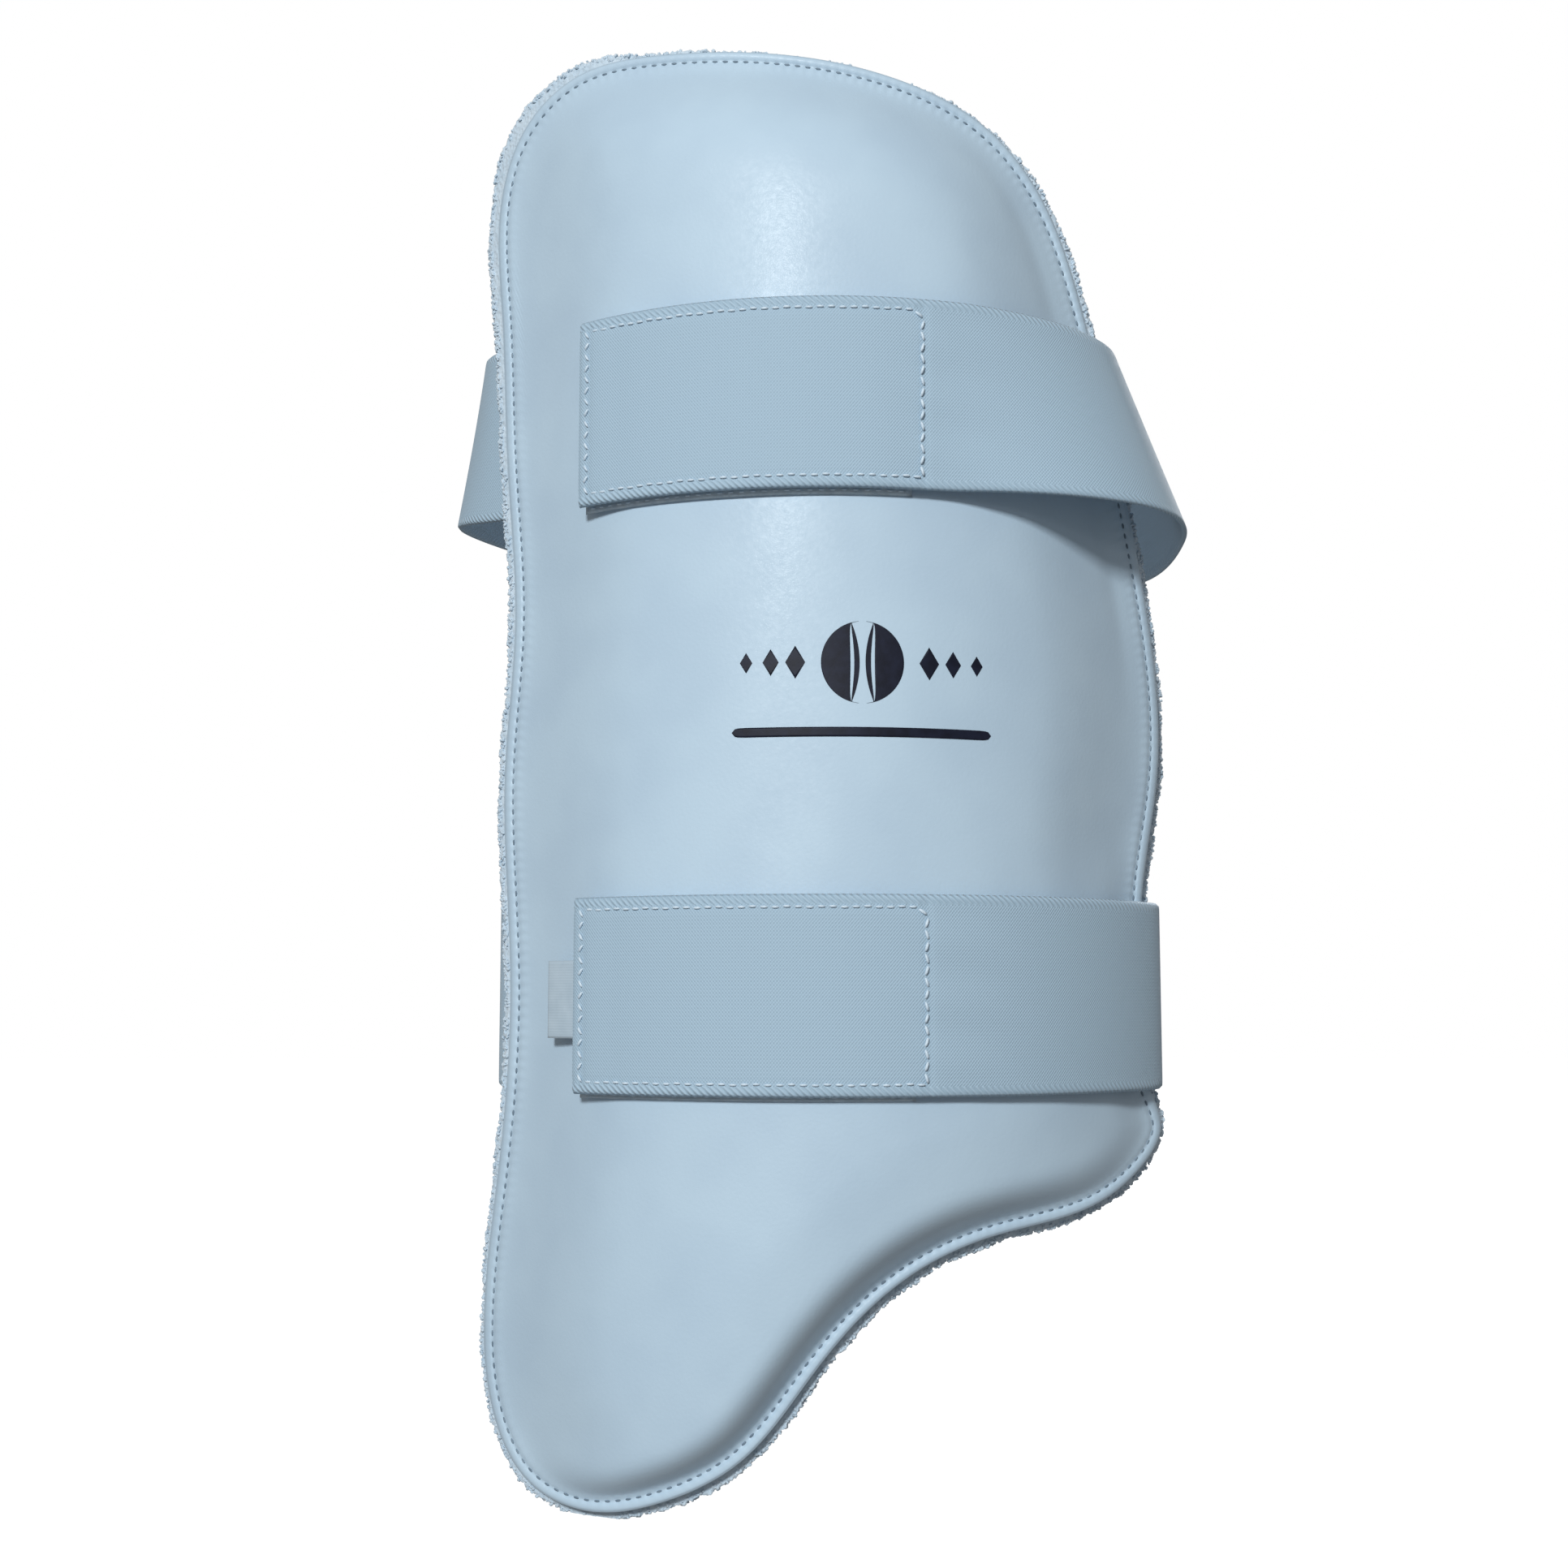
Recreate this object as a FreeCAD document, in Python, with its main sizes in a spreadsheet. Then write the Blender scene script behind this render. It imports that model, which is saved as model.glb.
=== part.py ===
# Cricket thigh pad: a moulded guard for the upper leg, held by two wide elastic straps.
# The pad curves round the front of the thigh.  Each elastic is sewn behind the pad's left edge, runs
# round the thigh to the right edge and closes on the pad's own face with a hook-and-loop tab.
#
# Frame: millimetres, +Z up the leg, the face towards -Y, +X to the right seen from the front.  The origin
# is on the thigh's axis at the middle of the pad's height.
import FreeCAD, Part
import math
import os

Vector = FreeCAD.Vector

doc = FreeCAD.newDocument("thigh_pad")
sheet = doc.addObject("Spreadsheet::Sheet", "sizes")

SIZES = [
    # the pad's section: two arcs, seen from above
    ("face_radius", 102.0),          # moulded face, about (0, face_centre)
    ("face_centre", -4.0),
    ("flange_radius", 134.5),        # sewn flange, about (0, flange_centre)
    ("flange_centre", 45.0),
    ("cover_thick", 1.2),
    ("comfort_thick", 3.5),
    ("towel_thick", 2.5),
    ("towel_beyond", 2.0),           # towelling sticks out past the cover by this
    ("stitch_inset", 2.8),           # running stitch inside the cover's edge
    ("thread_wide", 0.8),
    ("thread_proud", 0.3),
    ("pad_height", 420.0),           # height of the cutting cylinders, more than the pad's
    # the straps
    ("elastic_wide", 50.0),
    ("elastic_thick", 1.6),
    ("patch_thick", 1.3),            # loop patch on the face
    ("hook_thick", 1.0),
    ("touch_gap", 0.4),              # loop patch to hook patch
    ("loop_thread_proud", 0.1),
    ("hinge_child", 1.0),            # elastic ends this far before a flexing line
    ("hinge_parent", 1.7),           # and starts again this far behind it
    ("tip_angle", -38.0),            # tab's tip, angles from -Y about the face's centre
    ("seam_angle", 14.3),            # tab's sewn end, where it flexes
    ("box_tip_angle", -36.4),
    ("box_seam_angle", 13.2),
    ("hook_tip_angle", -37.0),
    ("hook_seam_angle", 13.4),
    ("loop_tip_angle", -38.3),
    ("loop_seam_angle", 12.0),
    ("patch_inset", 1.5),            # hook patch inside the elastic's edges
    ("box_inset", 3.0),              # box stitch inside the elastic's edges
    ("upper_edge", 66.5),            # lower edge of the upper tab
    ("lower_edge", -86.0),           # lower edge of the lower tab
    ("loop_drop", 2.0),              # loop patch sits this much lower than its tab
    # the straps' sewn ends behind the pad's left edge, angles from -Y about the flange's centre
    ("anchor_edge_angle", -44.3),    # where the elastic meets the pad's edge
    ("anchor_end_angle", -31.0),
    ("anchor_gap", 0.5),             # towelling to elastic, and elastic to its patch
    ("anchor_patch_thick", 1.0),
    ("anchor_patch_edge_angle", -42.4),
    ("anchor_patch_end_angle", -30.2),
    ("anchor_rise", 7.1),            # the upper elastic is sewn this much higher than its tab
    # the label and the print
    ("label_thick", 0.8),
    ("label_lift", 0.2),
    ("label_tip_angle", -44.7),
    ("label_seam_angle", -38.6),
    ("label_edge", -72.0),
    ("label_wide", 20.0),
    ("ink_thick", 0.12),
    ("ball_x", 8.5),                 # centre of the printed ball
    ("ball_z", 22.5),
    ("ball_radius", 10.5),
    ("ball_seam", 1.2),
    ("gem_first", 4.2),              # half a diamond's height; each one outwards is smaller
    ("gem_smaller", 0.8),
    ("gem_start", 17.0),             # centre of the first diamond from the ball's centre
    ("gem_step", 6.2),
    ("rule_long", 66.0),             # line under the ball
    ("rule_thick", 2.4),
    ("rule_z", 3.6),
]

for row, (alias, value) in enumerate(SIZES, start=1):
    sheet.set("A%d" % row, alias)
    sheet.set("B%d" % row, str(value))
    sheet.setAlias("B%d" % row, alias)
doc.recompute()


def size(alias):
    """A driving dimension, read from the sheet."""
    return float(sheet.get(alias))


def about(radius, angle, centre_y, z=0.0):
    """A point at an angle from -Y, on a circle about (0, centre_y)."""
    turn = math.radians(angle)
    return Vector(radius * math.sin(turn), centre_y - radius * math.cos(turn), z)


# ---- outlines, drawn flat in the X-Z plane as closed smooth curves ------------------------------------

# The towelling's edge: domed top, slight waist at the left, a rounded toe low at the left, a hollow
# sweeping up to a short wing at the right, and a right side that narrows towards the top.
EDGE = [(-14, 193), (-46, 196), (-71, 194.5), (-86, 184), (-93.5, 166), (-93, 130), (-90.5, 85),
        (-87.5, 40), (-90, 0), (-87.5, -55), (-90, -105), (-94, -145), (-91, -171), (-80, -188.5),
        (-61, -194.5), (-42, -190.5), (-21, -179), (-1, -155), (20, -134.5), (42, -124.5),
        (70, -118), (86, -108), (93, -97), (88, -82), (86.5, -58), (88.5, -32), (94, 0), (91.5, 45),
        (82, 90), (71.5, 131), (62, 155), (47, 173), (20, 186)]

# The raised face over the foam block: well inside the edge at the top and sides, close to it at the hollow.
RAISED = [(-15, 171), (-52, 173), (-75, 160), (-82, 132), (-80, 80), (-79, 0), (-78, -60), (-81, -120),
          (-84, -150), (-76, -176), (-58, -185), (-40, -180), (-22, -166), (-3, -142), (18, -122),
          (42, -111.5), (66, -106), (79, -97), (78, -82), (76, -58), (80, -10), (81, 40), (70, 95),
          (54, 138), (28, 163)]


def closed_curve(points):
    """A closed smooth curve through points (x, z), in the plane y = 0."""
    curve = Part.BSplineCurve()
    curve.interpolate(Points=[Vector(x, 0, z) for x, z in points], PeriodicFlag=True)
    return curve


def outline(name, points, inward=0.0):
    """The wire of a closed curve, each of its points moved inwards along the curve's normal."""
    curve = closed_curve(points)
    moved = []
    for x, z in points:
        along = curve.tangent(curve.parameter(Vector(x, 0, z)))[0]
        moved.append((x - inward * along.z, z + inward * along.x))
    curve = closed_curve(moved)
    first = curve.FirstParameter
    quarter = (curve.LastParameter - first) / 4
    feature = doc.addObject("Part::Feature", name)
    feature.Shape = Part.Wire([curve.toShape(first + k * quarter, first + (k + 1) * quarter)
                               for k in range(4)])
    return feature


def slab(name, source):
    """An outline swept along -Y, through the whole depth of the pad."""
    feature = doc.addObject("Part::Extrusion", name)
    feature.Base = source
    feature.DirMode = "Custom"
    feature.Dir = Vector(0, -1, 0)
    feature.Solid = True
    feature.setExpression("LengthFwd", "sizes.pad_height / 2")
    return feature


def cylinder(name, radius, centre, low="-sizes.pad_height / 2", high="sizes.pad_height / 2"):
    """An upright cylinder about (0, centre), its radius and ends given as expressions."""
    feature = doc.addObject("Part::Cylinder", name)
    feature.setExpression("Radius", radius)
    feature.setExpression("Height", "(%s) - (%s)" % (high, low))
    feature.setExpression("Placement.Base.y", centre)
    feature.setExpression("Placement.Base.z", low)
    return feature


def cut(name, base, tool):
    feature = doc.addObject("Part::Cut", name)
    feature.Base = base
    feature.Tool = tool
    return feature


def common(name, *pieces):
    feature = doc.addObject("Part::MultiCommon", name)
    feature.Shapes = list(pieces)
    return feature


def band(name, outer, inner, centre):
    """An upright tube about (0, centre) between two radii."""
    return cut(name, cylinder(name + "_outer", outer, centre), cylinder(name + "_inner", inner, centre))


def sector(name, outer, inner, centre, start, end, low, high):
    """A curved strip: a tube's stretch between two angles from -Y and two heights."""
    wedge = cylinder(name + "_wedge", outer, centre, low, high)
    wedge.setExpression("Angle", "(%s) - (%s)" % (end, start))
    wedge.Placement.Rotation = FreeCAD.Rotation(Vector(0, 0, 1), 1)
    wedge.setExpression("Placement.Rotation.Angle", "(%s) - 90" % start)
    return cut(name, wedge, cylinder(name + "_core", inner, centre, low, high))


def ring(name, outer, inner, centre, start, end, low, high, width):
    """A line of stitching round a curved strip: a thin frame of thread, width wide."""
    angle = "(%s) / sizes.face_radius * 180 / pi" % width
    whole = sector(name + "_whole", outer, inner, centre, start, end, low, high)
    middle = sector(name + "_middle", outer, inner, centre, "(%s) + %s" % (start, angle),
                    "(%s) - %s" % (end, angle), "(%s) + %s" % (low, width), "(%s) - %s" % (high, width))
    return cut(name, whole, middle)


# ---- the pad ------------------------------------------------------------------------------------------

FACE = "sizes.face_radius"
FACE_AT = "sizes.face_centre"
FLANGE = "sizes.flange_radius"
FLANGE_AT = "sizes.flange_centre"
DEEP = 200      # through the whole depth of the pad
COVER_BACK = FLANGE + " - sizes.cover_thick"
COMFORT_BACK = COVER_BACK + " - sizes.comfort_thick"
TOWEL_BACK = COMFORT_BACK + " - sizes.towel_thick"

edge = outline("edge_line", EDGE)
raised = outline("raised_line", RAISED)
cover_edge = outline("cover_line", EDGE, size("towel_beyond"))
foam_edge = outline("foam_line", RAISED, size("cover_thick"))


foam_front = common("foam_front", slab("foam_slab", foam_edge),
                    cylinder("foam_face", FACE + " - sizes.cover_thick", FACE_AT))


def make_impact_foam():
    """Thick moulded foam block: its front follows the face, its back lies on the comfort foam."""
    return cut("impact_foam", foam_front, cylinder("foam_back", COVER_BACK, FLANGE_AT))


def make_face_cover():
    """Thin moulded skin: a raised dome over the foam block and a flat flange round it."""
    flange = common("flange", slab("flange_slab", cover_edge), cylinder("flange_face", FLANGE, FLANGE_AT))
    dome = common("dome", slab("dome_slab", raised), cylinder("dome_face", FACE, FACE_AT))
    block = doc.addObject("Part::MultiFuse", "block")
    block.Shapes = [flange, dome]
    hollow = cut("hollow", block, foam_front)
    return cut("face_cover", hollow, cylinder("cover_back", COVER_BACK, FLANGE_AT))


def make_edge_thread():
    """Running stitch, kept as a low ridge just inside the cover's edge."""
    middle = size("towel_beyond") + size("stitch_inset")
    outer = outline("thread_outer_line", EDGE, middle - size("thread_wide") / 2)
    inner = outline("thread_inner_line", EDGE, middle + size("thread_wide") / 2)
    frame = cut("thread_frame", slab("thread_outer", outer), slab("thread_inner", inner))
    return common("edge_thread", frame,
                  band("thread_band", FLANGE + " + sizes.thread_proud", FLANGE, FLANGE_AT))


def ink_box(x, z, length, height):
    """A rectangle of ink with its lower left corner at (x, z), drawn through the whole depth."""
    box = Part.makeBox(length, DEEP, height)
    box.translate(Vector(x, -DEEP, z))
    return box


def make_printed_emblem():
    """Generic mark in thin ink: a ball with its seam, a row of diamonds to each side, and a rule below."""
    ball_x = size("ball_x")
    ball_z = size("ball_z")
    radius = size("ball_radius")
    ball = Part.makeCylinder(radius, DEEP, Vector(ball_x, 0, ball_z), Vector(0, -1, 0))
    seam = ink_box(ball_x - size("ball_seam") / 2, ball_z - 1.5 * radius, size("ball_seam"), 3 * radius)
    shapes = [ball.cut(seam)]
    for step in range(3):
        half = size("gem_first") - size("gem_smaller") * step
        for side in (-1, 1):
            x = ball_x + side * (size("gem_start") + size("gem_step") * step)
            corners = [Vector(x - half * 0.6, 0, ball_z), Vector(x, 0, ball_z + half),
                       Vector(x + half * 0.6, 0, ball_z), Vector(x, 0, ball_z - half)]
            face = Part.Face(Part.makePolygon(corners + corners[:1]))
            shapes.append(face.extrude(Vector(0, -DEEP, 0)))
    shapes.append(ink_box(ball_x - size("rule_long") / 2, size("rule_z"), size("rule_long"),
                          size("rule_thick")))
    stencil = doc.addObject("Part::Feature", "stencil")
    stencil.Shape = Part.makeCompound(shapes)
    ink = sector("ink", FACE + " + sizes.ink_thick", FACE, FACE_AT, "-30", "40", "-10", "50")
    film = doc.addObject("Part::Common", "printed_emblem")
    film.Base = ink
    film.Tool = stencil
    return film


nodes = {}
nodes["impact_foam"] = make_impact_foam()
nodes["face_cover"] = make_face_cover()
nodes["comfort_foam"] = common("comfort_foam", slab("comfort_slab", cover_edge),
                               band("comfort_band", COVER_BACK, COMFORT_BACK, FLANGE_AT))
nodes["towel_lining"] = common("towel_lining", slab("towel_slab", edge),
                               band("towel_band", COMFORT_BACK, TOWEL_BACK, FLANGE_AT))
nodes["edge_thread"] = make_edge_thread()
nodes["printed_emblem"] = make_printed_emblem()
nodes["size_label"] = sector("size_label", FACE + " + sizes.label_lift + sizes.label_thick",
                             FACE + " + sizes.label_lift", FACE_AT, "sizes.label_tip_angle",
                             "sizes.label_seam_angle", "sizes.label_edge",
                             "sizes.label_edge + sizes.label_wide")

# ---- the straps ---------------------------------------------------------------------------------------

PATCH_TOP = FACE + " + sizes.patch_thick"
HOOK_BACK = PATCH_TOP + " + sizes.touch_gap"
HOOK_TOP = HOOK_BACK + " + sizes.hook_thick"
ELASTIC_TOP = HOOK_TOP + " + sizes.elastic_thick"
ANCHOR_BACK = TOWEL_BACK + " - sizes.elastic_thick - 2 * sizes.anchor_gap"
ANCHOR_TOP = ANCHOR_BACK + " - sizes.anchor_patch_thick"

middle_radius = (size("face_radius") + size("patch_thick") + size("touch_gap") + size("hook_thick")
                 + size("elastic_thick") / 2)
anchor_radius = (size("flange_radius") - size("cover_thick") - size("comfort_thick") - size("towel_thick")
                 - size("anchor_gap") - size("elastic_thick") / 2)
seam_point = about(middle_radius, size("seam_angle"), size("face_centre"))

# Stations along each elastic's middle surface, from the tab's seam round the thigh to the sewn end.
# Each is (x, y, z) at the lower edge and (x, y, z) at the upper edge; station BEND is where it flexes.
# The upper strap stands off the thigh and flares downwards; the lower one follows the pad closely.
BEND = 4
UPPER_RUN = [
    ((48, -103.8, 66.5), (47, -98.6, 116.2)),
    ((70, -97.5, 66.5), (64, -88.0, 115.6)),
    ((88, -84, 66.7), (74.5, -76.5, 115.2)),
    ((99.5, -60, 67), (80, -61, 115.6)),
    ((103.5, -32, 67.2), (81, -42, 116.5)),
    ((104, -2, 67.5), (80, -15, 117.2)),
    ((97, 34, 69.5), (72, 17, 119)),
    ((68, 64, 72.5), (47, 43, 121.5)),
    ((22, 77, 75.5), (10, 53, 124)),
    ((-30, 76, 78), (-32, 52, 127)),
    ((-79, 50, 79.5), (-68, 35, 128.5)),
    ((-104, 12, 79.5), (-92, 5, 128.5)),
    ((-108, -16, 77.5), (-99, -16, 127)),
    ((-98.5, -34.5, 74.8), (-95.5, -36, 124.5)),
]
LOWER_PATH = [(45, -99.6), (61, -90.2), (75, -78.2), (84, -67.8), (89.8, -57.5), (91.6, -42), (93.2, -15),
              (89, 18), (67, 50), (28, 66), (-15, 68), (-60, 55), (-87, 25), (-93, -4), (-92, -24),
              (-90.2, -37.6)]


def edge_curve(points):
    """A smooth curve through points, its parameter equal to the station's number."""
    curve = Part.BSplineCurve()
    curve.interpolate(Points=[Vector(*point) for point in points],
                      Parameters=[float(number) for number in range(len(points))])
    return curve


def strap_curves(stations, low_z, anchor_z):
    """The lower and upper edge of one elastic: its stations between the tab's seam and the sewn end."""
    width = size("elastic_wide")
    reach = size("anchor_end_angle") - size("anchor_edge_angle")
    anchors = [about(anchor_radius, size("anchor_edge_angle") + reach * k / 4, size("flange_centre"))
               for k in range(5)]
    low = [(seam_point.x, seam_point.y, low_z)] + [station[0] for station in stations]
    high = [(seam_point.x, seam_point.y, low_z + width)] + [station[1] for station in stations]
    low += [(point.x, point.y, anchor_z) for point in anchors]
    high += [(point.x, point.y, anchor_z + width) for point in anchors]
    return edge_curve(low), edge_curve(high)


def speed(curve, stop):
    """Millimetres along a curve per station, at a station."""
    step = 0.001
    return (curve.value(stop + step) - curve.value(stop - step)).Length / (2 * step)


def ribbon(name, curves, start, start_gap, end, end_gap):
    """A strip of elastic between two stations, each end cut back by a gap in millimetres.

    Both edges are offset half a thickness each way along the path's level normal, and the four
    long sides and two ends are ruled between them."""
    half = size("elastic_thick") / 2
    offset_edges = []
    for curve in curves:
        first = start + start_gap / speed(curve, start)
        last = end - end_gap / speed(curve, end)
        stops = [first] + [float(k) for k in range(int(start) + 1, int(math.ceil(end)))] + [last]
        for side in (1, -1):
            line = []
            for stop in stops:
                along = curve.tangent(stop)[0]
                level = Vector(along.y, -along.x, 0)
                level.normalize()
                line.append(curve.value(stop) + level * (side * half))
            offset = Part.BSplineCurve()
            offset.interpolate(Points=line, Parameters=[stop for stop in stops])
            offset_edges.append(offset.toShape())
    outer_low, inner_low, outer_high, inner_high = offset_edges
    faces = [Part.makeRuledSurface(outer_low, outer_high), Part.makeRuledSurface(inner_low, inner_high),
             Part.makeRuledSurface(inner_low, outer_low), Part.makeRuledSurface(inner_high, outer_high)]
    for last_end in (0, -1):
        corners = [wire.Vertexes[last_end].Point for wire in (outer_low, outer_high, inner_high, inner_low)]
        cross = [Part.makeLine(corners[k], corners[(k + 1) % 4]) for k in range(4)]
        faces.append(Part.makeRuledSurface(cross[0], cross[2]))
    solid = Part.makeSolid(Part.Shell(Part.makeCompound(faces).Faces))
    if solid.Volume < 0:
        solid.reverse()
    feature = doc.addObject("Part::Feature", name)
    feature.Shape = solid
    return feature


def make_strap(name, curves, low, anchor_low):
    """One strap: loop patch and its thread, tab, front run, loop round the thigh, and its sewn end."""
    high = "(%s) + sizes.elastic_wide" % low
    nodes[name + "_loop_patch"] = sector(
        name + "_loop_patch", PATCH_TOP, FACE, FACE_AT, "sizes.loop_tip_angle", "sizes.loop_seam_angle",
        "(%s) - sizes.loop_drop" % low, "(%s) - sizes.loop_drop" % high)
    nodes[name + "_loop_thread"] = ring(
        name + "_loop_thread", PATCH_TOP + " + sizes.loop_thread_proud", PATCH_TOP, FACE_AT,
        "sizes.loop_tip_angle + 1", "sizes.loop_seam_angle - 1", "(%s) - sizes.loop_drop + 2" % low,
        "(%s) - sizes.loop_drop - 2" % high, "sizes.thread_wide")
    nodes[name + "_hook_patch"] = sector(
        name + "_hook_patch", HOOK_TOP, HOOK_BACK, FACE_AT, "sizes.hook_tip_angle", "sizes.hook_seam_angle",
        "(%s) + sizes.patch_inset" % low, "(%s) - sizes.patch_inset" % high)
    nodes[name + "_elastic_end"] = sector(
        name + "_elastic_end", ELASTIC_TOP, HOOK_TOP, FACE_AT, "sizes.tip_angle",
        "sizes.seam_angle - sizes.hinge_child / sizes.face_radius * 180 / pi", low, high)
    nodes[name + "_tab_thread"] = ring(
        name + "_tab_thread", ELASTIC_TOP + " + sizes.thread_proud", ELASTIC_TOP, FACE_AT,
        "sizes.box_tip_angle", "sizes.box_seam_angle", "(%s) + sizes.box_inset" % low,
        "(%s) - sizes.box_inset" % high, "sizes.thread_wide")
    nodes[name + "_elastic_front"] = ribbon(name + "_elastic_front", curves, 0, size("hinge_parent"), BEND,
                                            size("hinge_child"))
    nodes[name + "_elastic_loop"] = ribbon(name + "_elastic_loop", curves, BEND,
                                           size("hinge_parent"), curves[0].LastParameter, 0)
    anchor_high = "(%s) + sizes.elastic_wide" % anchor_low
    nodes[name + "_anchor_patch"] = sector(
        name + "_anchor_patch", ANCHOR_BACK, ANCHOR_TOP, FLANGE_AT, "sizes.anchor_patch_edge_angle",
        "sizes.anchor_patch_end_angle", "(%s) - 1" % anchor_low, "(%s) + 1" % anchor_high)
    nodes[name + "_anchor_thread"] = ring(
        name + "_anchor_thread", ANCHOR_TOP, ANCHOR_TOP + " - sizes.thread_proud", FLANGE_AT,
        "sizes.anchor_patch_edge_angle + 1", "sizes.anchor_patch_end_angle - 1", "(%s) + 2" % anchor_low,
        "(%s) - 2" % anchor_high, "sizes.thread_wide")


lower_run = [((x, y, size("lower_edge")), (x, y, size("lower_edge") + size("elastic_wide")))
             for x, y in LOWER_PATH]
make_strap("upper", strap_curves(UPPER_RUN, size("upper_edge"), size("upper_edge") + size("anchor_rise")),
           "sizes.upper_edge", "sizes.upper_edge + sizes.anchor_rise")
make_strap("lower", strap_curves(lower_run, size("lower_edge"), size("lower_edge")),
           "sizes.lower_edge", "sizes.lower_edge")

doc.recompute()

# ---- checks and export --------------------------------------------------------------------------------

for feature in doc.Objects:
    if "Invalid" in feature.State or "Error" in feature.State:
        raise SystemExit("failed: %s %s" % (feature.Name, feature.State))

os.makedirs("parts", exist_ok=True)
for name, feature in nodes.items():
    feature.Label = name
    shape = feature.Shape
    if shape.isNull() or not shape.isValid() or shape.Volume <= 0:
        raise SystemExit("bad shape: %s" % name)
    shape.exportStep("parts/%s.step" % name)
    box = shape.BoundBox
    print("%-20s solids %d  volume %9.1f  x %.1f %.1f  y %.1f %.1f  z %.1f %.1f" % (
        name, len(shape.Solids), shape.Volume, box.XMin, box.XMax, box.YMin, box.YMax, box.ZMin, box.ZMax))
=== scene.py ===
# %% [markdown]
# # A cricket thigh pad
# A thigh pad guards a batter's upper leg.  A thick foam block is covered by a smooth moulded skin, backed
# with towelling, and held by two wide elastic straps that close on the face with hook-and-loop tabs.
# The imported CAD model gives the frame: bodies, joints and the place of every part.  This notebook makes
# the looks round it, in metres, in the same frame.

import bmesh
import bpy
import numpy as np
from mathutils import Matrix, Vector


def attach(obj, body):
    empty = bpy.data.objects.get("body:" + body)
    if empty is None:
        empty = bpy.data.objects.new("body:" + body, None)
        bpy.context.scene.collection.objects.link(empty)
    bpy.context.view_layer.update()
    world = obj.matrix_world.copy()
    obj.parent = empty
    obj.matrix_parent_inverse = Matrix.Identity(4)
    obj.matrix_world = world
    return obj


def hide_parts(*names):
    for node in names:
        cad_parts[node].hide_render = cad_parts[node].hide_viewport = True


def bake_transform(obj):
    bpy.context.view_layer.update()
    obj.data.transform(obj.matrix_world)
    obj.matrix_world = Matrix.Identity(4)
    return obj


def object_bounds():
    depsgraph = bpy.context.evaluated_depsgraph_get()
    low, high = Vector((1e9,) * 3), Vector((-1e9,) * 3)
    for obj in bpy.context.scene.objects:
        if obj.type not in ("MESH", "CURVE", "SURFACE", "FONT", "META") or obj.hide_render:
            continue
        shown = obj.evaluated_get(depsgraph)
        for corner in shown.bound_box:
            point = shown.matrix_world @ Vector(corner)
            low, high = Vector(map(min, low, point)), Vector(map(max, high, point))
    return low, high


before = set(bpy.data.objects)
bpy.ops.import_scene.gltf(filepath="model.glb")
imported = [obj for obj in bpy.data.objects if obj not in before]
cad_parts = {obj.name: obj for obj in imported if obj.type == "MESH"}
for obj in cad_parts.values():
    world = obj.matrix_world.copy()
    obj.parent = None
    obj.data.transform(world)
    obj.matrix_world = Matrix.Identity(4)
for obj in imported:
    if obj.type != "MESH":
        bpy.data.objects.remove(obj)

CAD_LOW, CAD_HIGH = [list(corner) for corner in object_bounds()]
MM = 0.001
RNG = np.random.default_rng(7)
print("CAD box", CAD_LOW, CAD_HIGH)

# %% [markdown]
# ## Tools for surfaces
# A sewn object is mostly sheets and strips.  Each is a grid of points worked out by a formula, so its size
# is exact and its faces run along the cloth.  Sculpting would look as good but could not be repeated.
# One function turns any grid into a mesh, with a UV map in real metres for weaves and stitches to follow.


# %% Grid to mesh
def new_object(name, data):
    """Puts a mesh, lamp or camera into the scene as an object."""
    holder = bpy.data.objects.new(name, data)
    bpy.context.scene.collection.objects.link(holder)
    return holder


def joined(*parts):
    """Points or pairs from their separate x, y, z or u, v, each a number or an array, spread to one shape."""
    return np.stack(np.broadcast_arrays(*parts), axis=-1)


def quads(index):
    """Faces of four corners between neighbours of a grid of point numbers."""
    return np.stack([index[:-1, :-1], index[1:, :-1], index[1:, 1:], index[:-1, 1:]], axis=-1).reshape(-1, 4)


def grid_piece(name, points, uv=None, wrap_u=False, wrap_v=False, caps=False, merge=False):
    """A mesh of quads between neighbours of a grid of points, shape (rows, columns, 3).

    wrap_u joins the last row to the first and wrap_v the last column to the first.  caps closes the two
    ends of a tube with one face each.  uv has one more row or column than points where it wraps."""
    rows, columns = points.shape[:2]
    index = np.arange(rows * columns).reshape(rows, columns)
    if wrap_u:
        index = np.vstack([index, index[:1]])
    if wrap_v:
        index = np.hstack([index, index[:, :1]])
    faces = quads(index).tolist()
    if caps:
        faces += [index[0, :-1].tolist(), index[-1, :-1][::-1].tolist()]
    mesh = bpy.data.meshes.new(name)
    mesh.from_pydata(points.reshape(-1, 3).tolist(), [], faces)
    if uv is not None:
        corner = np.stack([uv[:-1, :-1], uv[1:, :-1], uv[1:, 1:], uv[:-1, 1:]], axis=-2).reshape(-1, 2)
        flat = np.zeros((len(mesh.loops), 2))
        flat[:len(corner)] = corner
        if caps:
            flat[len(corner):] = np.vstack([uv[0, :-1], uv[-1, :-1][::-1]])
        mesh.uv_layers.new(name="cloth").data.foreach_set("uv", flat.ravel())
    return finish_mesh(name, mesh, merge)


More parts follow.
